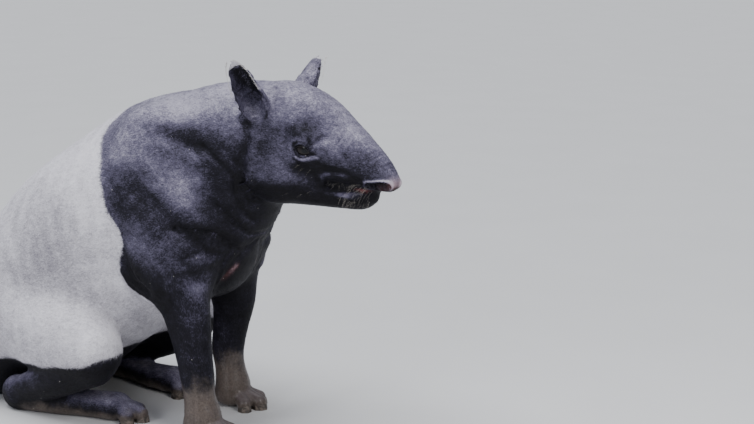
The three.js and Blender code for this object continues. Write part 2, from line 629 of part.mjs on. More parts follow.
let bodyCuts = [];
for (const [side, out] of sides) {
  const foreCorner = [
    [[-60, 0, FORE_CUT.height], [-FORE_CUT.slope, 0, 1]],
    [[0, out * FORE_CUT.inside, 0], [0, -out, 0]],
    [[FORE_CUT.back, 0, 0], [-1, 0, 0]],
  ];
  const foreBox = [[-300, out > 0 ? 0 : -260, -50], [170, out > 0 ? 260 : 0, 500]];
  const wrist = [[0, 0, WRIST], [0, 0, 1]];
  addNode(`forearm_${side}`,
    region(...foreBox, 28).intersect(insideOf(foreCorner)).intersect(ahead(...wrist)), BLACK_COAT);
  addFoot(`forefoot_${side}`, region(...foreBox, 21).intersect(behind(...wrist)).intersect(insideOf(foreCorner)),
    FORE_TOES, FORE_FOOT[side], out);

  const thighCorner = [
    [[0, 0, THIGH_CUT.top], [0, 0, 1]],
    [[0, out * THIGH_CUT.inside, 0], [0, -out, 0]],
    [[THIGH_CUT.back, 0, 0], [-1, 0, 0]],
    [[FORE_CUT.back, 0, 0], [1, 0, 0]],
  ];
  const hindBox = [[-760, out > 0 ? 130 : -350, -50], [-120, out > 0 ? 350 : -130, 450]];
  const knee = [[KNEE.x, 0, KNEE.z], [-KNEE.slope, 0, 1]];
  addNode(`thigh_${side}`, region(...hindBox, 33).intersect(insideOf(thighCorner)).intersect(ahead(...knee)), WHITE_COAT);
  const low = region(...hindBox, 31).intersect(behind(...knee)).intersect(insideOf(thighCorner.slice(1)));
  // The hind foot turns in under the belly, so its corner reaches further inward than the thigh's
  const footCorner = [
    [[HOCK.x, 0, 0], [-1, 0, 0]],
    [[HOCK.x, 0, HOCK.z], [-HOCK.slope, 0, 1]],
    [[0, out * HOCK.inside, 0], [0, -out, 0]],
    [[FORE_CUT.back, 0, 0], [1, 0, 0]],
  ];
  const footBox = [[-700, out > 0 ? 5 : -330, -50], [-150, out > 0 ? 330 : -5, 160]];
  addNode(`shank_${side}`, low.intersect(outsideOf(footCorner)), BLACK_COAT);
  addFoot(`hindfoot_${side}`, region(...footBox, 31).intersect(insideOf(footCorner)), HIND_TOES, HIND_FOOT[side], out);
  bodyCuts = [...bodyCuts, outsideOf(foreCorner), outsideOf(thighCorner), outsideOf(footCorner)];
}

const bodyOf = (low, high, cell) => bodyCuts
  .reduce((rest, cut) => rest.intersect(cut), region(low, high, cell).intersect(behind(...CHEEK_PLANE)));
addNode("neck", bodyOf([-260, -330, 380], [230, 330, 1040], 33).intersect(ahead(...SHOULDER_PLANE)), BLACK_COAT);
const barrel = bodyOf([-1060, -330, -60], [230, 330, 1040], 50).intersect(behind(...SHOULDER_PLANE));
addNode("torso", barrel.intersect(behind(...LOIN_PLANE)), BLACK_COAT);
addNode("rump", barrel.intersect(ahead(...LOIN_PLANE)), WHITE_COAT);
const rumpRoom = region([-1060, -330, -60], [-500, 330, 500], 50, CUT_GAP);
addNode("tail", solidOf(surfaceOf(tail, [-1060, -70, 80], [-860, 70, 340], 15)).subtract(rumpRoom), BLACK_COAT);

export default animal;
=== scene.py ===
"""A Malayan tapir sitting on its haunches: skin, short coat, eyes, hooves, whiskers and studio.

The skin follows one smooth field of rounded forms, in millimetres, with the forefeet's line at x = 0.
"""
import functools
import math

import bmesh
import bpy
import numpy as np
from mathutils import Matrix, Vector


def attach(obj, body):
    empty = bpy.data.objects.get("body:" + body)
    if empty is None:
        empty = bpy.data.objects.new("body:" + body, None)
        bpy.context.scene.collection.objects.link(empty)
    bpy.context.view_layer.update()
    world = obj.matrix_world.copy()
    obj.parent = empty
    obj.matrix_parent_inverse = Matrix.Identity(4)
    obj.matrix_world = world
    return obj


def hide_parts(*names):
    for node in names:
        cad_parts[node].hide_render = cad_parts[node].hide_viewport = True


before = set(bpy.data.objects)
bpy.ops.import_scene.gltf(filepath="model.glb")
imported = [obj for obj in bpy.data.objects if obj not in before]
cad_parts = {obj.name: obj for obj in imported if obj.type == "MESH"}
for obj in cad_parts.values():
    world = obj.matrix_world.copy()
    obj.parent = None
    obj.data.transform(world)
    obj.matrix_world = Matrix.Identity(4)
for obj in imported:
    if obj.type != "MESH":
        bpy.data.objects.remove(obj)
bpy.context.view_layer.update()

MIDDLE = -234.0  # where the origin lies along the working X
COAT = 1.5  # how deep the skin lies under the solids' surface
CELL = 13.0  # the skin's first mesh
COARSE = 4  # its cells between two coarse samples
SKIN_BOX = (-1080, -372, -36), (612, 372, 1116)
FAR = 1000.0
REACH = 75.0  # how far round itself a form is worked out
SIDES = (("right", -1), ("left", 1))
BODY = "root"


# Fields: each form gives the distance from points (n, 3) to its surface, negative inside


def smooth_min(a, b, k):
    h = np.maximum(k - np.abs(a - b), 0.0) / k
    return np.minimum(a, b) - h * h * k / 4


def smooth_max(a, b, k):
    return -smooth_min(-a, -b, k)


def in_box(p, low, high):
    return np.all((p > low) & (p < high), axis=1)


def unit(v):
    return v / np.linalg.norm(v, axis=1, keepdims=True)


def only_near(distance, low, high):
    """Skips the points that are too far from a form to feel it."""
    low, high = np.asarray(low, float) - REACH, np.asarray(high, float) + REACH

    def at(p):
        out = np.full(len(p), FAR)
        close = in_box(p, low, high)
        if close.any():
            out[close] = distance(p[close])
        return out

    return at


def ball(x, y, z, rx, ry, rz, pitch=0.0):
    c, s = math.cos(math.radians(pitch)), math.sin(math.radians(pitch))

    def distance(p):
        d = p - (x, y, z)
        u = (c * d[:, 0] + s * d[:, 2]) / rx
        v = d[:, 1] / ry
        w = (c * d[:, 2] - s * d[:, 0]) / rz
        k0 = np.sqrt(u * u + v * v + w * w)
        k1 = np.sqrt((u / rx) ** 2 + (v / ry) ** 2 + (w / rz) ** 2) + 1e-9
        return k0 * (k0 - 1) / k1

    r = max(rx, ry, rz)
    return only_near(distance, (x - r, y - r, z - r), (x + r, y + r, z + r))


def fill_stations(stations, steps):
    """Stations between the given ones, on a Catmull-Rom spline."""
    s = np.asarray(stations, float)
    at = lambda i: s[min(len(s) - 1, max(0, i))]
    filled = []
    for i in range(len(s) - 1):
        p, q, r, e = at(i - 1), at(i), at(i + 1), at(i + 2)
        for j in range(steps):
            t = j / steps
            filled.append(0.5 * (2 * q + (r - p) * t + (2 * p - 5 * q + 4 * r - e) * t * t
                                 + (3 * q - p - 3 * r + e) * t ** 3))
    return np.array(filled + [s[-1]])


def tube(stations, steps=4):
    """A limb or trunk through [x, y, z, half width, half depth]; the width runs along Y."""
    rings = fill_stations(stations, steps)
    spans = []
    for a, b in zip(rings[:-1], rings[1:]):
        d = b[:3] - a[:3]
        length = np.linalg.norm(d)
        t = d / length
        side = np.array([0, 1, 0]) - t[1] * t
        side /= np.linalg.norm(side)
        spans.append((a, b, t, side, np.cross(t, side), length))

    def distance(p):
        best = np.full(len(p), FAR)
        for a, b, t, side, up, length in spans:
            q = p - a[:3]
            along = q @ t
            share = np.clip(along / length, 0, 1)
            over = along - share * length
            w, h = q @ side, q @ up
            rw, rh = a[3] + (b[3] - a[3]) * share, a[4] + (b[4] - a[4]) * share
            ra = np.minimum(rw, rh)
            k0 = np.sqrt((w / rw) ** 2 + (h / rh) ** 2 + (over / ra) ** 2)
            k1 = np.sqrt((w / rw ** 2) ** 2 + (h / rh ** 2) ** 2 + (over / ra ** 2) ** 2) + 1e-9
            best = np.minimum(best, k0 * (k0 - 1) / k1)
        return best

    r = rings[:, 3:].max(1)[:, None]
    return only_near(distance, (rings[:, :3] - r).min(0), (rings[:, :3] + r).max(0))


def joined(k, forms):
    def distance(p):
        out = np.full(len(p), FAR)
        for form in forms:
            out = smooth_min(out, form(p), k)
        return out
    return distance


def to_right(p):
    return np.stack([p[:, 0], -np.abs(p[:, 1]), p[:, 2]], 1)


def mirrored(form):
    return lambda p: form(to_right(p))


def line_distance(points, p):
    near = np.full(len(p), FAR)
    pts = np.asarray(points, float)
    for a, b in zip(pts[:-1], pts[1:]):
        d = b - a
        t = np.clip((p - a) @ d / (d @ d), 0, 1)
        near = np.minimum(near, np.linalg.norm(p - a - t[:, None] * d, axis=1))
    return near


def crease(points, width, depth):
    """A hollow (depth > 0) or a ridge (depth < 0) along a line of points."""
    pts = np.asarray(points, float)
    low, high = pts.min(0) - 3 * width, pts.max(0) + 3 * width

    def relief(p):
        out = np.zeros(len(p))
        close = in_box(p, low, high)
        if close.any():
            out[close] = depth * np.exp(-((line_distance(pts, p[close]) / width) ** 2))
        return out

    return relief


# The body's forms

trunk = joined(60, [
    tube([
        [-800, 0, 235, 190, 180],
        [-740, 0, 275, 238, 224],
        [-640, 0, 355, 250, 250],
        [-500, 0, 460, 268, 276],
        [-340, 0, 560, 260, 280],
        [-190, 0, 648, 225, 280],
        [-80, 0, 716, 190, 246],
        [0, 0, 782, 156, 200],
        [96, 0, 832, 124, 160],
    ]),
    ball(-62, 0, 500, 110, 145, 130),
    mirrored(ball(-112, -142, 560, 112, 98, 185, -14)),
    mirrored(ball(-150, -120, 760, 120, 95, 150, 20)),
    ball(-400, 0, 352, 235, 225, 165, 22),
    ball(-560, 0, 260, 220, 215, 190, 30),
    mirrored(ball(-800, -105, 157, 150, 135, 165)),
])

# The head, laid out facing straight ahead and then turned
HEAD_TURN = math.radians(-5)
HEAD_PIVOT = 100.0
skull = tube([
    [140, 0, 848, 88, 138],
    [215, 0, 852, 98, 142],
    [290, 0, 842, 95, 126],
    [355, 0, 824, 80, 98],
    [415, 0, 798, 63, 82],
    [465, 0, 781, 53, 61],
    [505, 0, 764, 45, 39],
    [528, 0, 751, 36, 26],
])
jaw = tube([
    [170, 0, 742, 84, 84],
    [245, 0, 722, 74, 60],
    [320, 0, 707, 54, 43],
    [390, 0, 702, 42, 36],
    [440, 0, 702, 36, 33],
    [466, 0, 708, 28, 25],
])
head_forms = joined(26, [
    skull, jaw,
    mirrored(ball(200, -56, 768, 92, 60, 98, -12)),
    mirrored(ball(300, -66, 862, 46, 30, 26, -20)),
    mirrored(ball(318, -74, 800, 30, 18, 14)),
])


def turned_head(p, angle):
    c, s = math.cos(angle), math.sin(angle)
    dx, dy = p[:, 0] - HEAD_PIVOT, p[:, 1]
    return np.stack([HEAD_PIVOT + c * dx - s * dy, s * dx + c * dy, p[:, 2]], 1)


def to_head(p):
    """Points of the body's frame, in the unturned head's frame."""
    return turned_head(p, -HEAD_TURN)


def from_head(p):
    return turned_head(p, HEAD_TURN)


def on_right(field, places):
    """Puts (x, z) places on the right side of a field, by halving."""
    xz = np.asarray(places, float)
    outside, inside = np.full(len(xz), -420.0), np.zeros(len(xz))
    for _ in range(26):
        y = (outside + inside) / 2
        out = field(np.stack([xz[:, 0], y, xz[:, 1]], 1)) > 0
        outside, inside = np.where(out, y, outside), np.where(out, inside, y)
    return np.stack([xz[:, 0], inside, xz[:, 1]], 1)


# Eye
EYE_RADII = (33.0, 22.0, 27.0)
EYE_CENTRE = np.array([314.0, -72.0, 829.0])
EYE_SHIFT = (1.0, -4.0)  # the opening's middle, ahead of and below the ball's
EYE_OPENING = (25.0, 14.0, 11.5)  # half length, rise of the upper lid, drop of the lower
EYE_SLANT = math.radians(-14)
LID = 2.3


def eye_plane(p):
    """How far along and above the middle of the eye's opening each point lies."""
    dx, dz = p[:, 0] - EYE_CENTRE[0] - EYE_SHIFT[0], p[:, 2] - EYE_CENTRE[2] - EYE_SHIFT[1]
    c, s = math.cos(EYE_SLANT), math.sin(EYE_SLANT)
    return c * dx + s * dz, c * dz - s * dx


def eye_opening(p):
    u, v = eye_plane(p)
    length, rise, drop = EYE_OPENING
    arch = np.where(v > 0, rise, drop) * (1 - np.abs(u / length) ** 2.3)
    deep = -1.5 - eyeball(p)
    return np.maximum.reduce([(np.abs(v) - arch) * 0.85, deep, -deep - 30, p[:, 1] - EYE_CENTRE[1]])


eyeball = ball(*EYE_CENTRE, *EYE_RADII)
eye_lids = ball(*EYE_CENTRE, *[r + LID for r in EYE_RADII])

# Nostril: a teardrop, round in front
NOSTRIL_FRONT = on_right(head_forms, [(527, 744)])[0]
NOSTRIL_REAR = on_right(head_forms, [(503, 744)])[0]
nostril = joined(8, [
    ball(NOSTRIL_FRONT[0], NOSTRIL_FRONT[1] + 3, NOSTRIL_FRONT[2], 20, 18, 10),
    ball(NOSTRIL_REAR[0], NOSTRIL_REAR[1] + 2, NOSTRIL_REAR[2], 21, 12, 6.5, -4),
])


def relief_line(field, points, width, depth):
    """A crease along points; those that give only x and z are put on the field's right side."""
    return crease(points if len(points[0]) == 3 else on_right(field, points), width, depth)


# Points along each line, width and depth (less than 0 is a ridge)
HEAD_LINES = [
    # The hollow over the eye and the dark one under it that runs down to the nostril
    ([(318, 898), (352, 896)], 27, 6),
    ([(291, 794), (300, 786), (313, 782), (332, 788), (346, 788)], 8, 5.5),
    ([(346, 788), (377, 778), (402, 774), (424, 769), (450, 757), (463, 744)], 8, 5),
    ([(262, -92, 850), (240, -98, 900)], 26, 4),
    # Fold of the upper lid, ring behind the eye, bag under it and crease from its front corner
    ([(289, 833), (294, 841), (305, 847), (318, 847), (330, 839), (338, 828)], 2.8, 3.2),
    ([(303, 856), (288, 843), (281, 824), (288, 808)], 5, -2.2),
    ([(299, 804), (320, 800), (340, 803), (354, 807)], 7.5, -3.4),
    ([(337, 818), (352, 815), (364, 808)], 2.6, 4.5),
    ([(296, 811), (309, 806), (324, 807), (338, 812)], 2.0, 1.8),
    # The folds that meet over the eye's front corner
    ([(329, 872), (332, 857), (337, 838), (344, 833)], 4.2, 4),
    ([(337, 838), (349, 844), (362, 854), (368, 862)], 4.2, 2.8),
    ([(346, 854), (353, 864), (360, 874)], 5, -1.8),
    ([(350, 832), (364, 838), (380, 846)], 7, -2.0),
    # Short wrinkles over the cheek and the root of the snout
    ([(406, 828), (412, 842), (425, 868)], 1.6, -1.3),
    ([(398, 824), (404, 840), (416, 866)], 2.4, 1.3),
    ([(428, 800), (441, 820), (448, 834)], 2.4, 1.2),
    ([(440, 798), (452, 816), (459, 828)], 2.2, 1.1),
    ([(454, 800), (464, 818), (470, 828)], 2.2, 1.0),
    ([(372, 880), (398, 896)], 4, 1.6),
    # The pad over the mouth, the recess under it, the mouth and the lower lip
    ([(343, 730), (352, 748), (368, 761), (390, 767), (413, 767), (438, 759)], 9, -4),
    ([(360, 732), (380, 736), (405, 737), (436, 737)], 9, 6.5),
    ([(356, 715), (380, 716), (405, 718), (430, 722), (455, 724), (484, 722)], 3.2, 8.5),
    ([(392, 706), (420, 710), (446, 713), (468, 713)], 8, -4.5),
    ([(440, 731), (462, 731), (484, 729)], 5, -3.2),
    ([(372, 700), (402, 694), (430, 695)], 9, 3),
]
head_relief = [relief_line(head_forms, *line) for line in HEAD_LINES]


def head_shape(p, fine):
    """The head in its own frame, both sides at once."""
    q = to_right(p)
    d = head_forms(q)
    close = d < 60
    if not close.any():
        return d
    q, part = q[close], d[close]
    part = smooth_min(part, eye_lids(q), 9)
    for line in head_relief:
        part = part + line(q)
    if fine:
        slant = q[:, 0] - 0.35 * q[:, 2] + 1.6 * np.sin(q[:, 1] * 0.16) + 2.0 * np.sin(q[:, 2] * 0.11)
        rings = 0.3 * np.sin(slant * 0.72) + 0.22 * np.sin(slant * 1.31 + q[:, 1] * 0.05)
        part = part + rings * np.clip((q[:, 0] - 415) / 50, 0, 1) * np.clip((q[:, 2] - 762) / 25, 0, 1)
        hole = nostril(q)
        part = part - 3.2 * np.exp(-(((hole - 3.0) / 3.6) ** 2))
        part = smooth_max(part, -hole, 2.5)
        part = smooth_max(part, -eye_opening(q), 1.4)
    d[close] = part
    return d


# Ears: a cup rolled round a bent axis, open outward and forward
EAR_AXIS = np.array([
    [156, -70, 905],
    [166, -102, 934],
    [168, -128, 964],
    [168, -152, 995],
    [166, -174, 1026],
    [163, -187, 1045],
    [161, -193, 1054],
], float)
EAR_BOX = (60, -260, 840), (270, -20, 1110)
EAR_DROOP = {"right": 0.0, "left": -24.0}
EAR_HALF_WIDTH = np.array([36, 44, 44, 39, 31, 21, 11], float)
EAR_ROLL = np.radians([150, 128, 112, 100, 88, 80, 70])
EAR_THICKNESS = np.array([26, 13, 8, 6.5, 5.5, 5, 4], float)
EAR_OPENS = np.array([0.43, -0.7, -0.57])


def ear_frames(droop):
    share = ((np.arange(len(EAR_AXIS)) / (len(EAR_AXIS) - 1)) ** 2)[:, None]
    axis = EAR_AXIS + share * droop * np.array([-0.4, 0.2, 1.0])
    along = unit(np.gradient(axis, axis=0))
    opens = unit(EAR_OPENS - (along @ EAR_OPENS)[:, None] * along)
    return axis, along, opens, np.cross(opens, along)


def ear_place(p, droop):
    """Station along the ear, then offsets across it, toward its opening and past its end."""
    axis, along, opens, across = ear_frames(droop)
    best = np.full(len(p), FAR)
    station = np.zeros(len(p))
    for i in range(len(axis) - 1):
        d = axis[i + 1] - axis[i]
        t = np.clip((p - axis[i]) @ d / (d @ d), 0, 1)
        far = np.linalg.norm(p - axis[i] - t[:, None] * d, axis=1)
        station = np.where(far < best, i + t, station)
        best = np.minimum(best, far)
    mix = between(axis, station)
    q = p - mix(axis)
    end = np.where(station >= len(axis) - 1 - 1e-6, (q * along[-1]).sum(1), 0.0)
    return station, (q * mix(across)).sum(1), (q * mix(opens)).sum(1), end


def ear_section(station):
    """How far the ear wraps round its axis, its radius and its thickness."""
    wrap, half, thick = (np.interp(station, np.arange(len(table)), table)
                         for table in (EAR_ROLL, EAR_HALF_WIDTH, EAR_THICKNESS))
    return wrap, half / np.sin(np.minimum(wrap, math.pi / 2)), thick


def between(axis, station):
    """A function that reads a table of the ear's stations between them."""
    i = np.minimum(station.astype(int), len(axis) - 2)
    t = (station - i)[:, None]
    return lambda v: v[i] * (1 - t) + v[i + 1] * t


def ear_shape(p, droop, hollow):
    station, w, n, end = ear_place(p, droop)
    wrap, radius, thick = ear_section(station)
    edge = -radius * np.cos(wrap) + 1.0
    d = smooth_max(np.hypot(w, n) - radius, n - edge, 3.0)
    d = smooth_max(d, end - 2, 3.0)
    inner = radius - thick
    depth = (edge + inner) * hollow
    bowl = edge - depth * (1 - np.abs(w / np.maximum(inner, 2)) ** 3)
    slope = 3 * depth / np.maximum(inner, 2) * np.minimum(np.abs(w / np.maximum(inner, 2)), 1.2) ** 2
    return smooth_max(d, (n - bowl) / np.sqrt(1 + slope ** 2), 2.4)


def ears(p, hollow):
    out = np.full(len(p), FAR)
    for side, sign in SIDES:
        q = p * (1, -sign, 1)
        close = in_box(q, *EAR_BOX)
        if close.any():
            out[close] = np.minimum(out[close], ear_shape(q[close], EAR_DROOP[side], hollow))
    return out


# Legs; each toe has its turn in degrees, its reach, its half width and the height of its tip
FORE_TOES = [[32, 70, 22, 20], [-2, 84, 23, 20], [-36, 70, 22, 20], [-88, 60, 16, 32]]
HIND_TOES = [[44, 64, 22, 20], [10, 80, 23, 20], [-24, 64, 22, 20]]
TOE_ROOT = 50
FORE_FOOT = {"right": (-4, -140), "left": (-98, 138)}
FORE_WRIST = {"right": -26, "left": -120}
FORE_ELBOW = {"right": -62, "left": -88}
HIND_FOOT = {"right": (-322, -136), "left": (-330, 150)}


def toe_form(toe, foot, out):
    turn, reach, half, height = toe
    angle = math.radians(turn) * -out
    tip = [foot[0] + math.cos(angle) * reach, foot[1] + math.sin(angle) * reach, height]
    return tube([[*foot, TOE_ROOT, half, half], [*tip, half, half]], 1)


def foreleg(side, out):
    fx, fy = FORE_FOOT[side]
    wrist, elbow = FORE_WRIST[side], FORE_ELBOW[side]
    part = lambda t: elbow + (wrist - elbow) * t
    bone = joined(22, [
        tube([
            [-95, out * 138, 520, 76, 104],
            [elbow - 14, out * 144, 430, 66, 78],
            [part(0.3), out * 143, 335, 58, 68],
            [part(0.7), out * 140, 240, 48, 55],
            [wrist, fy, 170, 46, 50],
            [wrist + 6, fy, 118, 44, 46],
            [fx - 6, fy, 62, 54, 52],
        ]),
        ball(fx - 10, fy, 30, 56, 50, 34),
    ])
    return joined(9, [bone, *[toe_form(toe, (fx, fy), out) for toe in FORE_TOES]])


def thigh(out):
    return tube([
        [-650, out * 130, 300, 135, 165],
        [-520, out * 178, 268, 122, 150],
        [-400, out * 212, 242, 100, 122],
        [-318, out * 226, 222, 80, 92],
    ])


def shank(side, out):
    fx, fy = HIND_FOOT[side]
    bone = joined(20, [
        tube([
            [-330, out * 226, 190, 62, 72],
            [-440, out * 224, 132, 58, 60],
            [-550, out * 214, 84, 48, 50],
            [-620, out * 204, 56, 40, 44],
        ]),
        ball(-640, out * 200, 46, 50, 38, 50),
        tube([
            [-620, out * 200, 36, 40, 42],
            [-500, out * 182, 34, 42, 38],
            [-410, (out * 166 + fy) / 2, 34, 46, 40],
            [fx, fy, 36, 52, 42],
        ]),
    ])
    return joined(9, [bone, *[toe_form(toe, (fx, fy), out) for toe in HIND_TOES]])


forelegs = [foreleg(side, out) for side, out in SIDES]
elbows = [ball(-150, out * 128, 425, 54, 50, 64, 25) for _, out in SIDES]
thighs = [thigh(out) for _, out in SIDES]
shanks = [shank(side, out) for side, out in SIDES]
tail = tube([
    [-930, 0, 262, 42, 46],
    [-985, 0, 218, 27, 28],
    [-1008, 0, 165, 19, 18],
    [-1012, 0, 128, 12, 11],
])
# Each with how softly it joins the body
LIMBS = (forelegs, 60), (elbows, 34), (thighs, 40), (shanks, 14), ([tail], 24)

BODY_LINES = [
    # The edge of the cheek over the neck, from the ear down to the throat
    ([(101, -94, 930), (120, -110, 893), (136, -114, 868), (137, -118, 838), (126, -121, 806),
      (118, -121, 779), (112, -112, 736), (117, -100, 708), (128, -84, 679)], 20, 7),
    ([(112, -104, 912), (128, -112, 880), (137, -116, 850), (131, -120, 820), (119, -121, 786),
      (112, -114, 745), (116, -102, 712), (128, -84, 679)], 7, 6),
    ([(150, -112, 850), (150, -122, 810), (142, -124, 770), (140, -112, 725)], 16, -5),
    # Folds of the neck and throat
    ([(12, -148, 819), (39, -148, 803), (83, -128, 759), (95, -118, 731), (98, -116, 695),
      (103, -105, 657), (110, -84, 627), (117, -63, 612)], 7.5, 6),
    ([(62, -134, 800), (82, -126, 762), (84, -124, 722), (86, -118, 680), (90, -104, 640)], 13, -4),
    ([(82, -125, 812), (98, -122, 781), (104, -116, 750)], 5.5, 4),
    ([(30, -152, 690), (52, -140, 658), (75, -113, 624), (89, -87, 593), (97, -51, 571),
      (104, -22, 569), (106, 0, 570)], 6.5, 8),
    ([(60, -146, 690), (84, -118, 650), (98, -88, 612)], 13, -4),
    # The fold over the breast, the armpit and the folds of skin in it
    ([(-60, -214, 600), (-3, -188, 597), (26, -153, 589), (44, -118, 566), (56, -89, 539),
      (65, -63, 526), (77, -32, 528), (92, -12, 547)], 7, 9),
    ([(-10, -196, 620), (30, -162, 612), (60, -118, 588), (78, -70, 552)], 15, -6),
    ([(76, -32, 526), (61, -50, 506), (45, -67, 482), (24, -71, 443), (6, -78, 405)], 11, 6),
    ([(53, -84, 524), (31, -95, 486), (11, -92, 441), (-6, -92, 410)], 6, 5),
    ([(55, -49, 489), (36, -62, 456), (9, -73, 422)], 4.5, 4),
    ([(-30, -204, 505), (-4, -190, 524), (22, -150, 533), (39, -97, 515)], 6, 5),
    ([(-34, -202, 486), (0, -178, 500), (28, -130, 500)], 13, -5),
    # The hollow under the shoulder, and the muscles on both sides of it
    ([(-150, -228, 700), (-117, -233, 676), (-54, -229, 640), (-16, -201, 584),
      (10, -177, 551)], 24, 10),
    ([(-130, -205, 770), (-80, -210, 725), (-24, -196, 668), (10, -178, 626)], 34, -9),
    ([(-175, -232, 640), (-120, -236, 590), (-70, -222, 545)], 34, -7),
    ([(-100, -176, 842), (-10, -150, 812)], 26, 9),
    ([(-40, -140, 880), (30, -128, 860), (84, -110, 838)], 34, -6),
    # The flap of skin behind the elbow and the hollow before it
    ([(-214, -236, 640), (-198, -239, 577), (-198, -237, 544), (-204, -226, 498)], 16, 6),
    ([(-198, -232, 505), (-190, -226, 472), (-174, -217, 444), (-140, -207, 414)], 14, 13),
    ([(-206, -232, 530), (-216, -226, 498), (-219, -212, 456), (-210, -196, 421),
      (-182, -190, 400)], 6, -7),
    ([(-150, -236, 505), (-158, -226, 470), (-158, -214, 440)], 7, -4),
    ([(-101, -227, 470), (-104, -218, 425)], 8, -3),
    ([(-60, -214, 452), (-61, -208, 400)], 9, -3),
    ([(-246, 515), (-244, 470), (-232, 425)], 5, 2.6),
    ([(-262, 505), (-262, 455), (-248, 405)], 5, 2.2),
    ([(-282, 480), (-280, 430)], 5, 1.6),
    ([(-20, -180, 440), (0, -140, 428)], 16, -5),
]
body_relief = [mirrored(relief_line(trunk, *line)) for line in BODY_LINES]


def flesh(p, level):
    """The whole animal; level 0 is plain, 1 has folds and half-deep ears, 2 has everything."""
    h = to_head(p)
    head = smooth_min(head_shape(h, level > 1), ears(h, (0.0, 0.55, 1.0)[level]), 13)
    d = smooth_min(trunk(p), head, 34)
    for forms, k in LIMBS:
        for form in forms:
            d = smooth_min(d, form(p), k)
    if level > 0:
        for line in body_relief:
            d = d + line(p)
    return smooth_max(d + COAT, 0.4 - p[:, 2], 3.0)


# Meshing


def first_mesh(field, low, high, cell):
    """Surface nets on a grid that is only filled where coarse samples come near the surface."""
    low, coarse = np.asarray(low, float), COARSE
    n = [int(math.ceil((h - l) / cell / coarse)) * coarse + 1 for l, h in zip(low, high)]
    block = coarse * cell
    shape = [(m - 1) // coarse + 1 for m in n]
    axes = [low[a] + block * np.arange(shape[a]) for a in range(3)]
    rough = field(np.stack(np.meshgrid(*axes, indexing="ij"), -1).reshape(-1, 3)).reshape(shape)
    values = np.repeat(np.repeat(np.repeat(rough, coarse, 0), coarse, 1), coarse, 2)
    values = values[:n[0], :n[1], :n[2]]
    fine_axes = [low[a] + cell * np.arange(n[a]) for a in range(3)]
    close = np.abs(values) < 1.9 * block
    i, j, k = np.nonzero(close)
    points = np.stack([fine_axes[0][i], fine_axes[1][j], fine_axes[2][k]], 1)
    values[close] = field(points)
    inside = values < 0
    corners = [(a, b, c) for a in (0, 1) for b in (0, 1) for c in (0, 1)]
    size = [m - 1 for m in n]
    cut = lambda a, b, c: tuple(slice(o, o + s) for o, s in zip((a, b, c), size))
    count = sum(inside[cut(*c)].astype(int) for c in corners)
    active = (count > 0) & (count < 8)
    ci, cj, ck = np.nonzero(active)
    ids = np.full(size, -1)
    ids[active] = np.arange(len(ci))
    corner_values = {c: values[ci + c[0], cj + c[1], ck + c[2]] for c in corners}
    total, crossings = np.zeros((len(ci), 3)), np.zeros(len(ci))
    for a in corners:
        for b in corners:
            if sum(abs(u - v) for u, v in zip(a, b)) == 1 and b > a:
                va, vb = corner_values[a], corner_values[b]
                hit = (va < 0) != (vb < 0)
                t = np.where(hit, va / np.where(hit, va - vb, 1), 0)[:, None]
                total += hit[:, None] * (np.array(a) + t * (np.array(b) - np.array(a)))
                crossings += hit
    verts = low + cell * (np.stack([ci, cj, ck], 1) + total / crossings[:, None])
    quads = []
    for a in range(3):
        u, w = (a + 1) % 3, (a + 2) % 3
        step = np.eye(3, dtype=int)
        here = inside[tuple(slice(1, m - 1) for m in n)]
        there = inside[tuple(slice(1 + step[a][d], m - 1 + step[a][d]) for d, m in enumerate(n))]
        e = np.stack(np.nonzero(here != there), 1) + 1
        turns = ((0, 0), (1, 0), (1, 1), (0, 1))
        ring = np.stack([ids[tuple((e - p * step[u] - q * step[w]).T)] for p, q in turns], 1)
        flip = ~inside[tuple(e.T)]
        ring[flip] = ring[flip][:, ::-1]
        quads.append(ring)
    return verts, np.concatenate(quads)


def settled(points, level, steps, most):
    """Moves points along the field's slope onto its surface."""
    p, h = points.copy(), 0.6
    for _ in range(steps):
        d = flesh(p, level)
        grad = np.stack([flesh(p + h * e, level) - d for e in np.eye(3)], 1) / h
        steep = np.maximum((grad ** 2).sum(1), 0.15)
        move = -(d / steep)[:, None] * grad
        far = np.linalg.norm(move, axis=1)
        p += move * np.minimum(1, most / np.maximum(far, 1e-9))[:, None]
    return p


def wanted_level(p):
    """How many times the mesh is halved at each point."""
    h = to_head(p)
    q = to_right(h)
    x, z = p[:, 0], p[:, 2]
    level = np.zeros(len(p), int)
    head = (h[:, 0] > 60) & (z > 590)
    folds = (x > -250) & (z > 395) & (z < 840)
    feet = (x > -200) & (z < 140)
    toes = (x > -330) & (z < 66)
    level[head | folds | feet | toes] = 1
    face = (h[:, 0] > 268) & (z > 680) & (z < 885)
    ear = (h[:, 0] < 245) & (q[:, 1] < -88) & (z > 892)
    cheek = in_box(to_right(p), (96, -FAR, 690), (150, -84, 880))
    level[face | ear | cheek | (toes & (z < 48))] = 2
    eye = np.linalg.norm(q - EYE_CENTRE - (4, -20, 0), axis=1) < 36
    hole = np.linalg.norm((q - (NOSTRIL_FRONT + NOSTRIL_REAR) / 2) * (0.8, 1, 1), axis=1) < 32
    level[eye | hole] = 3
    return level


def points_of(bm):
    return np.array([v.co for v in bm.verts])


def shade_smooth(mesh):
    mesh.polygons.foreach_set("use_smooth", np.ones(len(mesh.polygons), bool))


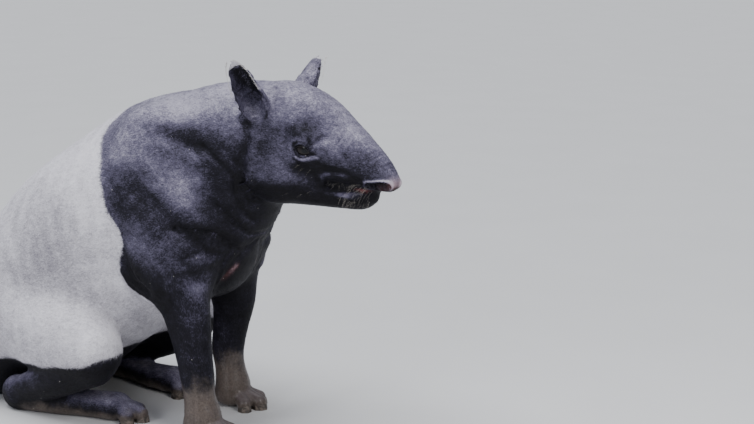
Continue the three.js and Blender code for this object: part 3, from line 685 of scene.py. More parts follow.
def make_skin():
    verts, quads = first_mesh(lambda p: flesh(p, 0), *SKIN_BOX, CELL)
    verts = settled(verts, 0, 2, CELL * 0.5)
    mesh = bpy.data.meshes.new("skin")
    mesh.from_pydata(verts.tolist(), [], quads.tolist())
    unwrap(mesh)
    bm = bmesh.new()
    bm.from_mesh(mesh)
    for halving, steps in ((1, 2), (2, 2), (3, 3)):
        bm.verts.ensure_lookup_table()
        deep = wanted_level(points_of(bm)) >= halving
        edges = [e for e in bm.edges if deep[e.verts[0].index] and deep[e.verts[1].index]]
        bmesh.ops.subdivide_edges(bm, edges=edges, cuts=1, use_grid_fill=True)
        bm.verts.index_update()
        moved = settled(points_of(bm), min(halving, 2), steps, CELL * 0.6)
        for v, co in zip(bm.verts, moved):
            v.co = co
    bmesh.ops.triangulate(bm, faces=[f for f in bm.faces if len(f.verts) > 4])
    bm.to_mesh(mesh)
    bm.free()
    shade_smooth(mesh)
    return mesh


def linked(name, data):
    """A new object in the scene."""
    obj = bpy.data.objects.new(name, data)
    bpy.context.collection.objects.link(obj)
    return obj


def unwrap(mesh):
    """Lays the skin's first mesh out flat in many islands, as the map that the coat's roots use."""
    obj = linked("unwrap", mesh)
    bpy.context.view_layer.objects.active = obj
    obj.select_set(True)
    bpy.ops.object.mode_set(mode="EDIT")
    bpy.ops.mesh.select_all(action="SELECT")
    bpy.ops.uv.smart_project(angle_limit=math.radians(66), island_margin=0.002)
    bpy.ops.object.mode_set(mode="OBJECT")
    bpy.data.objects.remove(obj)
    mesh.uv_layers[0].name = "OFBake"


def to_metres(p):
    return (np.asarray(p) - (MIDDLE, 0, 0)) / 1000.0


def add_piece(name, mesh, material):
    obj = linked(name, mesh)
    mesh.materials.clear()
    mesh.materials.append(material)
    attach(obj, BODY)
    return obj


# Markings, worked out at points of the skin

SADDLE_FRONT = [
    (-296, 980), (-308, 890), (-330, 848), (-318, 802), (-294, 765), (-273, 702), (-238, 628), (-206, 580),
    (-199, 544), (-214, 498), (-218, 456), (-209, 421), (-184, 400), (-120, 372), (-70, 320),
]
SADDLE_LOW = [(-1100, 120), (-860, 122), (-590, 158), (-458, 172), (-304, 196), (-178, 252), (-79, 332)]


def smooth_step(x, low, high):
    t = np.clip((x - low) / (high - low), 0, 1)
    return t * t * (3 - 2 * t)


def spot(p, centre, radii):
    return np.exp(-(((p - centre) / radii) ** 2).sum(1))


def wave(p, length, seed):
    """Slow, smooth unevenness between about -1 and 1."""
    rng = np.random.default_rng(seed)
    total = np.zeros(len(p))
    for _ in range(5):
        way = rng.normal(size=3)
        way /= np.linalg.norm(way)
        total += np.sin(p @ way * (2 * math.pi / length) * rng.uniform(0.7, 1.5) + rng.uniform(0, 6.3))
    return total / 3


# Where the black coat is painted lighter or darker than its slope alone makes it, mostly painted sheen and
# painted shade: place, reach and change
BODY_PAINTED_LIGHT = [
    ((-60, -90, 925), (200, 120, 60), 0.22),
    ((60, -70, 965), (130, 90, 50), 0.16),
    ((-214, -205, 800), (60, 70, 60), 0.26),
    ((-60, -165, 845), (62, 80, 44), -0.22),
    ((-120, -210, 770), (150, 90, 150), 0.09),
    ((-15, -160, 800), (50, 80, 46), -0.16),
    ((-85, -222, 728), (62, 70, 50), 0.15),
    ((-40, -222, 672), (62, 70, 52), 0.16),
    ((0, -200, 720), (40, 80, 60), 0.14),
    ((-160, -228, 690), (60, 70, 55), -0.18),
    ((-125, -232, 655), (56, 70, 34), -0.24),
    ((-60, -225, 612), (62, 70, 34), -0.20),
    ((-150, -240, 566), (46, 60, 40), 0.20),
    ((-98, -238, 520), (60, 60, 44), 0.16),
    ((-172, -222, 455), (36, 60, 50), -0.36),
    ((-100, -215, 400), (60, 70, 50), -0.16),
    ((70, -120, 700), (46, 60, 110), -0.24),
    ((20, -150, 560), (60, 80, 40), -0.14),
    ((-5, -165, 432), (44, 40, 18), 0.34),
    ((-20, -190, 360), (50, 50, 70), 0.10),
]
# On the head: painted light and shade (lit forehead and cheek, shaded brow, hollow under the eye and recess
# under the upper lip) mixed with the skin's own paler lips and darker lids and eye
HEAD_TONES_AND_PAINTED_LIGHT = [
    ((250, -60, 905), (80, 60, 50), 0.10),
    ((380, -60, 842), (52, 50, 28), 0.26),
    ((225, -100, 775), (60, 40, 46), 0.16),
    ((205, -100, 830), (36, 40, 40), -0.16),
    ((308, -80, 882), (38, 40, 22), -0.42),
    ((352, -80, 868), (26, 30, 14), -0.16),
    ((306, -86, 782), (26, 24, 11), -0.50),
    ((385, -64, 777), (48, 24, 9), -0.42),
    ((448, -50, 757), (26, 26, 9), -0.36),
    ((400, -36, 732), (50, 30, 11), -0.95),
    ((300, -70, 748), (60, 30, 18), 0.12),
    ((370, -50, 762), (40, 30, 9), 0.34),
    ((350, -60, 744), (6, 30, 16), 0.34),
    ((478, -20, 800), (52, 40, 30), -0.20),
    ((420, -40, 692), (80, 40, 9), -0.45),
    ((420, -40, 705), (34, 30, 10), 0.74),
    ((478, -20, 705), (18, 30, 12), -0.40),
    ((316, -93, 825), (24, 14, 12), -0.8),
    ((281, -93, 826), (6, 20, 18), 0.30),
    ((322, -93, 799), (26, 20, 7), 0.26),
    ((306, -93, 853), (18, 20, 6), 0.30),
    ((338, -88, 818), (9, 14, 5), -0.5),
    ((336, -88, 852), (7, 14, 12), -0.3),
]
# The same painted light and shade for the white coat: lighter high on the back, darker lower on the flank
WHITE_PAINTED_LIGHT = [
    ((-360, -180, 800), (120, 200, 90), 0.18),
    ((-300, -240, 640), (70, 90, 110), 0.16),
    ((-520, -240, 560), (130, 120, 90), -0.22),
    ((-400, -240, 500), (110, 100, 60), -0.18),
    ((-560, -240, 420), (150, 120, 60), -0.16),
    ((-250, -230, 470), (40, 90, 70), 0.14),
    ((-330, -260, 250), (90, 60, 50), 0.12),
]
# Painted shade along deep folds: points, half width and change
PAINTED_FOLD_SHADE = [
    ([(112, -104, 912), (128, -112, 880), (137, -116, 850), (131, -120, 820), (119, -121, 786),
      (112, -114, 745), (116, -102, 712), (128, -84, 679)], 13, 0.26),
    ([(12, -148, 819), (39, -148, 803), (83, -128, 759), (95, -118, 731), (98, -116, 695),
      (103, -105, 657)], 11, 0.16),
    ([(-60, -214, 600), (-3, -188, 597), (26, -153, 589), (44, -118, 566), (56, -89, 539),
      (77, -32, 528)], 9, 0.22),
]
ARMPIT_FOLD = [(48, -48, 478), (34, -62, 458), (22, -72, 440)]


def on_line(line, width, p):
    return np.exp(-((line_distance(line, p) / width) ** 2))


def white_mask(p, h):
    """The saddle, and the ears' edges and tips."""
    x, z = p[:, 0], p[:, 2]
    front = np.array(sorted(SADDLE_FRONT, key=lambda place: place[1]), float)
    edge = np.interp(z, front[:, 1], front[:, 0]) + 3.0 * wave(p, 90, 5) + 1.2 * wave(p, 30, 6)
    low = np.array(SADDLE_LOW, float)
    under = np.interp(x, low[:, 0], low[:, 1]) + 5 * wave(p, 80, 7)
    soft = np.interp(z, [400, 560, 760], [6, 12, 27])
    leg = np.minimum(*[form(p) for form in forelegs])
    white = smooth_step(edge - x, -soft, soft) * smooth_step(z - under, -13, 13)
    # The left leg stands farther back, so its top is higher in the flank
    over = z - np.where(p[:, 1] > 0, 62, 0)
    white *= np.maximum(smooth_step(leg, 4, 16), smooth_step(over, 400, 440))
    white *= 1 - smooth_step(-x, 955, 985)
    ear = (np.abs(h[:, 1]) > 60) & (h[:, 2] > 885) & (h[:, 0] < 240)
    rim = np.zeros(len(p))
    if ear.any():
        rim[ear] = ear_rim(h[ear])
    return np.maximum(white, rim)


def black_tone_and_painted_light(p, h, lift):
    """How light the black coat is, painted light and shade included: lightest on what faces up, as if lit
    from above, with painted shade on what faces down, under the jaw and low on the body.
    """
    z, sided, q = p[:, 2], to_right(p), to_right(h)
    tone_and_painted_light = 0.35 + 0.40 * smooth_step(lift, -0.1, 0.95) - 0.40 * smooth_step(-lift, 0.0, 0.75)
    tone_and_painted_light += 0.05 * wave(p, 130, 11) + 0.06 * wave(p, 48, 12)
    head = smooth_step(h[:, 0], 120, 190) * smooth_step(z, 600, 660)
    tone_and_painted_light += 0.05 * head
    for centre, radii, change in BODY_PAINTED_LIGHT:
        tone_and_painted_light += change * spot(sided, centre, radii)
    for centre, radii, change in HEAD_TONES_AND_PAINTED_LIGHT:
        tone_and_painted_light += change * spot(q, centre, radii)
    # Painted shade under the jaw and throat
    tone_and_painted_light -= 0.42 * smooth_step(752 - z, 0, 60) * smooth_step(h[:, 0], 130, 200) * (z > 600)
    # Painted shade low on the body, less where it faces up
    return tone_and_painted_light - 0.16 * smooth_step(480 - z, 0, 160) * (1 - smooth_step(lift, 0.2, 0.8))


def white_tone_and_painted_light(p, lift):
    # Painted light: the white coat lighter where it faces up, with slow random unevenness
    tone_and_painted_light = 0.44 + 0.26 * smooth_step(lift, -0.2, 0.9) + 0.10 * wave(p, 190, 13) + 0.09 * wave(p, 60, 14)
    for centre, radii, change in WHITE_PAINTED_LIGHT:
        tone_and_painted_light += change * spot(to_right(p), centre, radii)
    return tone_and_painted_light


def markings(p, normals):
    """The coat's colours as masks: white, how light the coat is with its painted light and shade, pink and
    mud.
    """
    x, z, lift = p[:, 0], p[:, 2], normals[:, 2]
    h, sided = to_head(p), to_right(p)
    q = to_right(h)
    white = white_mask(p, h)
    tone_and_painted_light = black_tone_and_painted_light(p, h, lift) * (1 - white) + white_tone_and_painted_light(p, lift) * white
    # Painted shade in the deep folds
    for line, width, change in PAINTED_FOLD_SHADE:
        tone_and_painted_light -= change * on_line(line, width, sided)
    # Painted shade between the forelegs, under the breast
    tone_and_painted_light -= 0.34 * spot(sided, (30, -20, 430), (70, 70, 60))
    pit = on_line(ARMPIT_FOLD, 6.5, sided)
    tone_and_painted_light += 0.34 * pit
    lip = spot(q, (464, -32, 728), (17, 16, 3.6))
    tip = spot(q, (560, -24, 745), (14, 26, 20))
    tone_and_painted_light += 0.5 * tip - 0.4 * lip
    # The nostril: a paler rim, and pink on the floor of a hole painted dark as its shade
    hole = np.where(h[:, 0] > 465, nostril(q), FAR)
    hole_shade = smooth_step(3.4 - hole, 0, 2.2)
    inner = hole_shade * spot(q, (526, -30, 739), (10, 30, 7))
    tone_and_painted_light += 0.5 * np.exp(-(((hole - 7) / 3.4) ** 2))
    tone_and_painted_light = np.clip(tone_and_painted_light, 0, 1) * (1 - hole_shade) + 0.8 * inner
    pink = np.clip(0.4 * pit + 0.9 * lip + 0.8 * tip + inner, 0, 1)
    fore_mud = smooth_step(214 - z + 16 * wave(p, 70, 15), 0, 130) * (x > -230)
    sole_mud = smooth_step(60 - z + 9 * wave(p, 90, 16), 0, 64) * smooth_step(x, -640, -560)
    mud = np.maximum(fore_mud, sole_mud)
    return {"white": white, "tone_and_painted_light": np.clip(tone_and_painted_light, 0, 1), "pink": pink, "mud": mud}


def ear_rim(h):
    """The white edge and tip of an ear."""
    out = np.zeros(len(h))
    for side, sign in SIDES:
        q = h * (1, -sign, 1)
        own = q[:, 1] < 0
        if not own.any():
            continue
        station, _, n, _ = ear_place(q[own], EAR_DROOP[side])
        wrap, radius, _ = ear_section(station)
        rim = smooth_step(n + radius * np.cos(wrap), -11, -6) * smooth_step(station, 2.0, 3.6)
        out[own] = np.maximum(rim, smooth_step(station, 4.0, 4.5))
    return out


# Materials

# The black coat's colours, from darkest to lightest: the darkest stops are painted shade, the lavender
# lightest ones painted skylight sheen
BLACK_COAT_SHADE_TO_SHEEN = [
    (0.0, (0.0042, 0.0038, 0.0055, 1)),
    (0.3, (0.014, 0.013, 0.021, 1)),
    (0.6, (0.094, 0.086, 0.136, 1)),
    (0.82, (0.225, 0.21, 0.283, 1)),
    (1.0, (0.42, 0.40, 0.48, 1)),
]
# The other colours of the coat, each in its darkest and lightest colour; the white coat and the pink skin
# go between them with the coat's painted light and shade, the mud at random
WHITE_COAT = (0.20, 0.185, 0.225), (0.82, 0.80, 0.85)
PINK_SKIN = (0.20, 0.055, 0.055), (0.66, 0.43, 0.44)
MUD = (0.03, 0.022, 0.018), (0.25, 0.20, 0.17)
# Colour of the tiny pale dots painted as glints on the hair tips
GLINT_SPECK = (0.75, 0.72, 0.68)
CLUMPS = 0.009, 3, 0.65, (0.6, 1, 1)  # clumps of hair: size, detail, roughness and stretch


def new_group(name, inputs, outputs):
    tree = bpy.data.node_groups.new(name, "ShaderNodeTree")
    for label, value in inputs:
        socket = tree.interface.new_socket(label, in_out="INPUT", socket_type="NodeSocketFloat")
        socket.default_value = value
    for label, kind in outputs:
        tree.interface.new_socket(label, in_out="OUTPUT", socket_type=kind)
    return tree, tree.nodes.new("NodeGroupInput").outputs, tree.nodes.new("NodeGroupOutput")


def fill(tree, made, values):
    """Fills a node's inputs, each with a plain value or another node's output."""
    for key, value in values.items():
        socket = made.inputs[int(key[1:]) if key[1:].isdigit() else key.replace("_", " ")]
        if isinstance(value, bpy.types.NodeSocket):
            tree.links.new(value, socket)
        else:
            socket.default_value = value


def node(tree, kind, settings=None, **values):
    made = tree.nodes.new(kind)
    for key, value in (settings or {}).items():
        setattr(made, key, value)
    fill(tree, made, values)
    return made


def calc(tree, operation, a, b=0.0, clamp=False):
    return node(tree, "ShaderNodeMath", {"operation": operation, "use_clamp": clamp}, i0=a, i1=b).outputs[0]


def sums(tree):
    """Adding, subtracting and multiplying in a tree."""
    return (functools.partial(calc, tree, operation) for operation in ("ADD", "SUBTRACT", "MULTIPLY"))


def mixed(tree, share, a, b):
    """A colour between a and b."""
    a, b = (c if isinstance(c, bpy.types.NodeSocket) else (*c, 1.0) for c in (a, b))
    return node(tree, "ShaderNodeMix", {"data_type": "RGBA"}, i0=share, i6=a, i7=b).outputs[2]


def masked(tree, value, low, high):
    return node(tree, "ShaderNodeMapRange", {"interpolation_type": "SMOOTHSTEP"}, Value=value,
                From_Min=low, From_Max=high).outputs[0]


def attribute(tree, name):
    return node(tree, "ShaderNodeAttribute", {"attribute_name": name}).outputs["Fac"]


def object_place(tree):
    return node(tree, "ShaderNodeTexCoord").outputs["Object"]


def noise(tree, where, size, detail, rough, stretch=(1, 1, 1)):
    """Noise with grains of about the given size in metres."""
    scaled = node(tree, "ShaderNodeMapping", Vector=where, Scale=[s / size for s in stretch])
    return node(tree, "ShaderNodeTexNoise", Vector=scaled.outputs[0], Scale=1.0, Detail=detail,
                Roughness=rough).outputs["Fac"]


def fur_grain_group():
    """Fine speckle and flat-lying hair: masks for colour and a height for bump."""
    tree, given, out = new_group("fur grain", [("Leg", 0.0)], [
        ("Speckle", "NodeSocketFloat"),
        ("Mottle", "NodeSocketFloat"),
        ("Height", "NodeSocketFloat"),
    ])
    plus, _, times = sums(tree)
    where = object_place(tree)
    along = noise(tree, where, 0.0024, 3, 0.6, (0.45, 1, 1))
    down = noise(tree, where, 0.0024, 3, 0.6, (1, 1, 0.45))
    turned = node(tree, "ShaderNodeMix", {"data_type": "FLOAT"}, i0=given["Leg"], i2=along, i3=down)
    speckle = turned.outputs[0]
    clumps = noise(tree, where, *CLUMPS)
    height = plus(times(speckle, 0.7), times(clumps, 0.5))
    fill(tree, out, {"Speckle": speckle, "Mottle": clumps, "Height": height})
    return tree


def coat_colour_group():
    """The tapir's colours: black and white coat, pink skin and mud, from the masks on the mesh, with the
    painted light and shade that the lightness mask carries.
    """
    tree, given, out = new_group("tapir coat colour", [("Tint", 0.5), ("Speckle", 0.5), ("Mottle", 0.5)], [
        ("Color", "NodeSocketColor"),
        ("Roughness", "NodeSocketFloat"),
        ("Wet", "NodeSocketFloat"),
    ])
    plus, less, times = sums(tree)
    white, tone_and_painted_light, pink, mud = (attribute(tree, name) for name in ("white", "tone_and_painted_light", "pink", "mud"))
    grain = plus(times(given["Speckle"], 1.1), times(given["Mottle"], 0.6))
    around = less(plus(grain, times(given["Tint"], 0.5)), 1.1)

    ramp = node(tree, "ShaderNodeValToRGB", Fac=plus(tone_and_painted_light, times(around, 0.8), clamp=True))
    stops = ramp.color_ramp.elements
    stops[0].color, stops[1].color = BLACK_COAT_SHADE_TO_SHEEN[0][1], BLACK_COAT_SHADE_TO_SHEEN[-1][1]
    for place, colour in BLACK_COAT_SHADE_TO_SHEEN[1:-1]:
        stops.new(place).color = colour
    pale = mixed(tree, masked(tree, plus(less(tone_and_painted_light, 0.5), around), -0.75, 0.5), *WHITE_COAT)
    share = masked(tree, plus(white, times(around, 0.35)), 0.3, 0.7)
    colour = mixed(tree, share, ramp.outputs[0], pale)
    skin = mixed(tree, masked(tree, plus(tone_and_painted_light, times(around, 0.4)), 0.05, 0.6), *PINK_SKIN)
    colour = mixed(tree, times(pink, 0.85), colour, skin)

    where = object_place(tree)
    cover = masked(tree, plus(mud, times(noise(tree, where, 0.03, 5, 0.7), 0.9)), 0.6, 1.35)
    earth = mixed(tree, noise(tree, where, 0.006, 4, 0.7), *MUD)
    colour = mixed(tree, times(cover, 0.8), colour, earth)
    # Tiny pale dots, painted glints of the hair tips
    glint_cells = node(tree, "ShaderNodeTexVoronoi", {"feature": "F1"}, Vector=where, Scale=26.0)
    glint_dot = masked(tree, glint_cells.outputs["Distance"], 0.034, 0.022)
    colour = mixed(tree, times(glint_dot, 0.8), colour, GLINT_SPECK)

    dry = less(plus(0.58, times(around, 0.2)), times(pink, 0.2))
    wet = calc(tree, "MAXIMUM", times(cover, 0.35), times(pink, 0.4))
    fill(tree, out, {"Color": colour, "Roughness": less(dry, times(cover, 0.22)), "Wet": wet})
    return tree


def new_material(name):
    material = bpy.data.materials.new(name)
    material.use_nodes = True
    return material, material.node_tree, material.node_tree.nodes["Principled BSDF"]


def placed_group(tree, group, **values):
    return node(tree, "ShaderNodeGroup", {"node_tree": group}, **values).outputs


def add_bump(tree, shader, height, strength, depth):
    bump = node(tree, "ShaderNodeBump", Height=height, Strength=strength, Distance=depth)
    tree.links.new(bump.outputs[0], shader.inputs["Normal"])


def dress(tree, shader, coat):
    """The coat's colours, with the sheen and gloss that the skin and the hairs share."""
    fill(tree, shader, {
        "Base Color": coat["Color"],
        "Roughness": coat["Roughness"],
        "Specular IOR Level": 0.13,
        "Sheen Weight": 0.04,
        "Sheen Roughness": 0.38,
        "Sheen Tint": (0.72, 0.72, 0.95, 1),
        "Coat Weight": coat["Wet"],
        "Coat Roughness": 0.22,
    })


def skin_material(grain, colours):
    material, tree, shader = new_material("tapir skin")
    fur = placed_group(tree, grain, Leg=attribute(tree, "leg"))
    dress(tree, shader, placed_group(tree, colours, Tint=0.5, Speckle=fur["Speckle"], Mottle=fur["Mottle"]))
    add_bump(tree, shader, fur["Height"], 0.55, 0.0016)
    return material


def hair_material(name, colours):
    material, tree, shader = new_material(name)
    tint, clumps = attribute(tree, "tint"), noise(tree, object_place(tree), *CLUMPS)
    dress(tree, shader, placed_group(tree, colours, Tint=tint, Speckle=0.5, Mottle=clumps))
    return material


# Pieces


def read_all(things, name, width, kind=float):
    """One property of all vertices, corners or triangles, a row for each."""
    values = np.empty(len(things) * width, kind)
    things.foreach_get(name, values)
    return values.reshape(-1, width)


def set_attribute(mesh, name, values):
    made = mesh.attributes.new(name, "FLOAT", "POINT")
    made.data.foreach_set("value", np.asarray(values, np.float32))


PAIRED_NODES = "ear", "forearm", "forefoot", "thigh", "shank", "hindfoot"
FLESH_NODES = ["head", "neck", "torso", "rump", "tail"]
FLESH_NODES += [f"{part}_{side}" for part in PAIRED_NODES for side, _ in SIDES]


def add_skin(material):
    mesh = make_skin()
    places = read_all(mesh.vertices, "co", 3)
    masks = markings(places, read_all(mesh.vertices, "normal", 3))
    masks["leg"] = smooth_step(520 - places[:, 2], 0, 120) * (places[:, 0] > -240)
    for name, values in masks.items():
        set_attribute(mesh, name, values)
    mesh.vertices.foreach_set("co", to_metres(places).astype(np.float32).ravel())
    mesh.update()
    skin = add_piece("skin", mesh, material)
    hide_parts(*FLESH_NODES)
    return skin, places, masks


# Coat: short hairs that lie along the body, each a thin curved blade
HAIRS = 230000
COAT_PIECES = 5
# A blade's corners: two at its root, two in the middle and a tip
BLADE_FACES = np.array([[0, 1, 3], [0, 3, 2], [2, 3, 4]])
BLADE_MAP = 0.0015 * np.array([[-1, -1], [1, -1], [-0.8, 0.2], [0.8, 0.2], [0, 1]])


def lie_of_hair(places, normals):
    """The way the hair lies: back from the nose, down the legs and out along the ears."""
    n = len(places)
    x, z = places[:, 0], places[:, 2]
    h = to_head(places)
    way = np.tile((-1.0, 0.0, -0.34), (n, 1))
    way[:, 1] = 0.15 * np.sign(places[:, 1])
    low = smooth_step(560 - z, 0, 160) * (x > -230)
    way += low[:, None] * ((0.75, 0, -1.2) - way) * 0.9
    hind = smooth_step(300 - z, 0, 90) * (x < -230)
    way += hind[:, None] * ((-0.6, 0, -0.8) - way) * 0.6
    face = smooth_step(h[:, 0], 130, 230) * (z > 620)
    way += face[:, None] * ((-1.0, 0, -0.2) - way)
    along = ear_frames(0.0)[1]
    for _, sign in SIDES:
        ear = (h[:, 1] * sign > 88) & (h[:, 2] > 905) & (h[:, 0] < 240)
        way[ear] = along[3] * (1, -sign, 1)
    way += 0.16 * np.stack([wave(places, 70, s) for s in (21, 22, 23)], 1)
    way -= (way * normals).sum(1)[:, None] * normals
    return way / np.maximum(np.linalg.norm(way, axis=1), 1e-6)[:, None]


def hair_length(places):
    """Length and width of the hair in millimetres: smallest on the face, the ears and the feet."""
    x, z = places[:, 0], places[:, 2]
    h = to_head(places)
    length = np.full(len(places), 11.0)
    length += 4.0 * smooth_step(-x, 700, 950)
    length -= 3.5 * smooth_step(260 - z, 0, 120)
    length -= 4.0 * smooth_step(h[:, 0], 110, 190) * (z > 620)
    length -= 1.8 * smooth_step(h[:, 0], 380, 500) * (z > 640)
    length -= 3.0 * smooth_step(70 - z, 0, 40)
    ear = (np.abs(h[:, 1]) > 88) & (h[:, 2] > 905) & (h[:, 0] < 240)
    length[ear] = 6.0
    return np.maximum(length, 3.0), 0.34 + 0.05 * length


def near_openings(p):
    """Where no hair grows: between the lids and inside the nostrils."""
    q = to_right(to_head(p))
    return (eye_opening(q) < 2.0) | (nostril(q) < 1.5)


def strewn_roots(mesh, places, masks, rng):
    """Even draws over the skin: root, upward way, place on the map and the coat's masks of each hair."""
    mesh.calc_loop_triangles()
    corner = read_all(mesh.loop_triangles, "vertices", 3, np.int32)
    loop = read_all(mesh.loop_triangles, "loops", 3, np.int32)
    uv = read_all(mesh.uv_layers["OFBake"].data, "uv", 2, np.float32)
    normals = read_all(mesh.vertices, "normal", 3)
    a, b, c = (places[corner[:, i]] for i in range(3))
    area = np.linalg.norm(np.cross(b - a, c - a), axis=1) / 2
    middle = (a + b + c) / 3
    length, width = hair_length(middle)
    bare = (masks["pink"][corner].mean(1) > 0.35) | near_openings(middle)
    rate = area / (length * width) * np.where(bare, 0, 1) * np.where(middle[:, 2] < 3, 0, 1)
    number = rng.poisson(rate * HAIRS / rate.sum())
    which = np.repeat(np.arange(len(corner)), number)
    u, v = rng.random(len(which)), rng.random(len(which))
    over = u + v > 1
    u[over], v[over] = 1 - u[over], 1 - v[over]
    share = np.stack([1 - u - v, u, v], 1)
    mix = lambda values: (values[corner[which]] * share[..., None]).sum(1)
    uvs = (uv[loop[which]] * share[..., None]).sum(1)
    values = {name: mix(mask[:, None])[:, 0] for name, mask in masks.items()}
    return mix(places), unit(mix(normals)), uvs, values


def blades(root, up, rng):
    """The corners of each hair's blade, and how pale it is."""
    lie = lie_of_hair(root, up)
    turn = rng.normal(0, 0.2, len(root)) + 0.22 * wave(root, 26, 31)
    lie = lie * np.cos(turn)[:, None] + np.cross(up, lie) * np.sin(turn)[:, None]
    side = np.cross(up, lie)
    length, width = hair_length(root)
    tuft = wave(root, 19, 33)
    length *= rng.uniform(0.65, 1.2, len(root)) * (1 + 0.18 * tuft)
    lift = np.clip(rng.normal(0.13, 0.06, len(root)) + 0.04 * tuft, 0.03, 0.4)
    half = (width * rng.uniform(0.7, 1.2, len(root)) / 2)[:, None]
    tint = np.clip(0.5 + 0.2 * tuft + rng.normal(0, 0.24, len(root)), 0, 1)
    length, lift = length[:, None], lift[:, None]
    bow = rng.normal(0, 0.05, len(root))[:, None] * length
    low, middle = root - up * 0.5, root + lie * length * 0.5 + up * length * lift * 0.62 + side * bow
    end = root + lie * length + up * length * lift * 0.75
    wide, narrow = side * half, side * half * 0.8
    return np.stack([low - wide, low + wide, middle - narrow, middle + narrow, end], 1), tint


def add_coat(skin, places, masks, material):
    """Strews the hairs over the skin and joins them in a few pieces."""
    rng = np.random.default_rng(41)
    root, up, uvs, values = strewn_roots(skin.data, places, masks, rng)
    points, values["tint"] = blades(root, up, rng)
    for n, chosen in enumerate(np.array_split(rng.permutation(len(root)), COAT_PIECES)):
        some = {name: value[chosen] for name, value in values.items()}
        add_blades(f"coat_{n + 1}", points[chosen], uvs[chosen], some, material)


def add_blades(name, points, uvs, values, material):
    """One mesh of many blades."""
    n = len(points)
    faces = (np.arange(n)[:, None, None] * 5 + BLADE_FACES).reshape(-1, 3)
    mesh = bpy.data.meshes.new(name)
    mesh.vertices.add(n * 5)
    mesh.loops.add(n * 9)
    mesh.polygons.add(n * 3)
    mesh.vertices.foreach_set("co", to_metres(points.reshape(-1, 3)).astype(np.float32).ravel())
    mesh.loops.foreach_set("vertex_index", faces.ravel().astype(np.int32))
    mesh.polygons.foreach_set("loop_start", np.arange(0, n * 9, 3, dtype=np.int32))
    shade_smooth(mesh)
    mesh.update(calc_edges=True)
    layer = mesh.uv_layers.new(name="OFBake")
    spread = (uvs[:, None, :] + BLADE_MAP[None])[np.arange(n)[:, None], BLADE_FACES.ravel()]
    layer.data.foreach_set("uv", spread.astype(np.float32).ravel())
    for key, value in values.items():
        set_attribute(mesh, key, np.repeat(value, 5))
    add_piece(name, mesh, material)


# Whiskers, bristles, lashes and the ears' fringe
STRAND_STEPS = 5
# Patches of whiskers: name, number, reach along and up, slope, length, way, droop and thickness
WHISKERS = [
    ("bristles_upper_lip", 22, (362, 440), (729, 746), 0.0, (7, 20), (-0.1, -0.5, -0.8), 0.05, 0.12),
    ("whiskers_upper_lip", 34, (424, 492), (722, 744), 0.0, (20, 52), (-0.42, -0.42, -0.8), 0.08, 0.15),
    ("whiskers_lower_lip", 22, (392, 476), (694, 714), 0.0, (16, 44), (-0.35, -0.45, -0.85), 0.08, 0.15),
    ("whiskers_chin", 16, (404, 480), (682, 698), 0.05, (12, 34), (-0.25, -0.3, -0.92), 0.06, 0.14),
    ("whiskers_under_eye", 5, (298, 332), (776, 792), 0.0, (22, 42), (-0.5, -0.55, -0.75), 0.1, 0.13),
    ("whiskers_cheek", 5, (230, 330), (704, 726), -0.1, (14, 30), (-0.6, -0.5, -0.6), 0.1, 0.11),
]
LASHES = 46
FRINGE_HAIRS = 170  # along each edge of an ear


def add_strands(name, roots, tips, bends, thick, material):
    """Thin three-sided hairs that curve from each root to its tip."""
    n = len(roots)
    t = np.linspace(0, 1, STRAND_STEPS + 1)[None, :, None]
    path = roots[:, None] * (1 - t) + tips[:, None] * t + bends[:, None] * 4 * t * (1 - t)
    along = unit(tips - roots)
    side = unit(np.cross(along, (0.3, 0.2, 0.93)))
    up = np.cross(side, along)
    rings = []
    for angle in (2 * math.pi * k / 3 for k in range(3)):
        off = side * math.cos(angle) + up * math.sin(angle)
        rings.append(path + off[:, None] * (thick * (1 - 0.92 * t)))
    points = np.stack(rings, 2).reshape(-1, 3)
    faces = []
    for start in range(0, 3 * STRAND_STEPS, 3):
        for k, j in ((0, 1), (1, 2), (2, 0)):
            faces += [(start + k, start + j, start + 3 + j), (start + k, start + 3 + j, start + 3 + k)]
    faces += [(0, 2, 1), (3 * STRAND_STEPS, 3 * STRAND_STEPS + 1, 3 * STRAND_STEPS + 2)]
    corners = len(faces) * 3
    faces = (np.arange(0, len(points), len(points) // n)[:, None, None] + np.array(faces)).reshape(-1, 3)
    mesh = bpy.data.meshes.new(name)
    mesh.from_pydata(to_metres(points).tolist(), [], faces.tolist())
    shade_smooth(mesh)
    layer = mesh.uv_layers.new(name="OFBake")
    on_map = 0.1 + 0.8 * np.random.default_rng(9).random((n, 2))
    layer.data.foreach_set("uv", np.repeat(on_map, corners, axis=0).astype(np.float32).ravel())
    add_piece(name, mesh, material)


def strand_material(name, dark, pale):
    """Hair that pales from place to place."""
    material, tree, shader = new_material(name)
    patches = noise(tree, object_place(tree), 0.008, 2, 0.5)
    fill(tree, shader, {
        "Base Color": mixed(tree, patches, dark, pale),
        "Roughness": 0.45,
        "Specular IOR Level": 0.5,
    })
    return material


def on_both_sides(points):
    """Right-side places of the head's own frame, on both sides of the turned head."""
    return np.concatenate([from_head(points), from_head(points * (1, -1, 1))])


def add_whiskers(rng, material):
    for name, n, along, up, slope, length, way, droop, thick in WHISKERS:
        x, z = rng.uniform(*along, n), rng.uniform(*up, n)
        z = z + slope * (x - along[0])
        root = on_right(head_forms, np.stack([x, z], 1)) + (0, 2.2, 0)
        long = rng.uniform(*length, n)[:, None]
        tip = root + unit(np.array(way) + rng.normal(0, 0.3, (n, 3))) * long
        bend = np.array([0, -0.04, droop]) * long
        bends = np.concatenate([bend, bend * (1, -1, 1)])
        add_strands(name, on_both_sides(root), on_both_sides(tip), bends, thick, material)


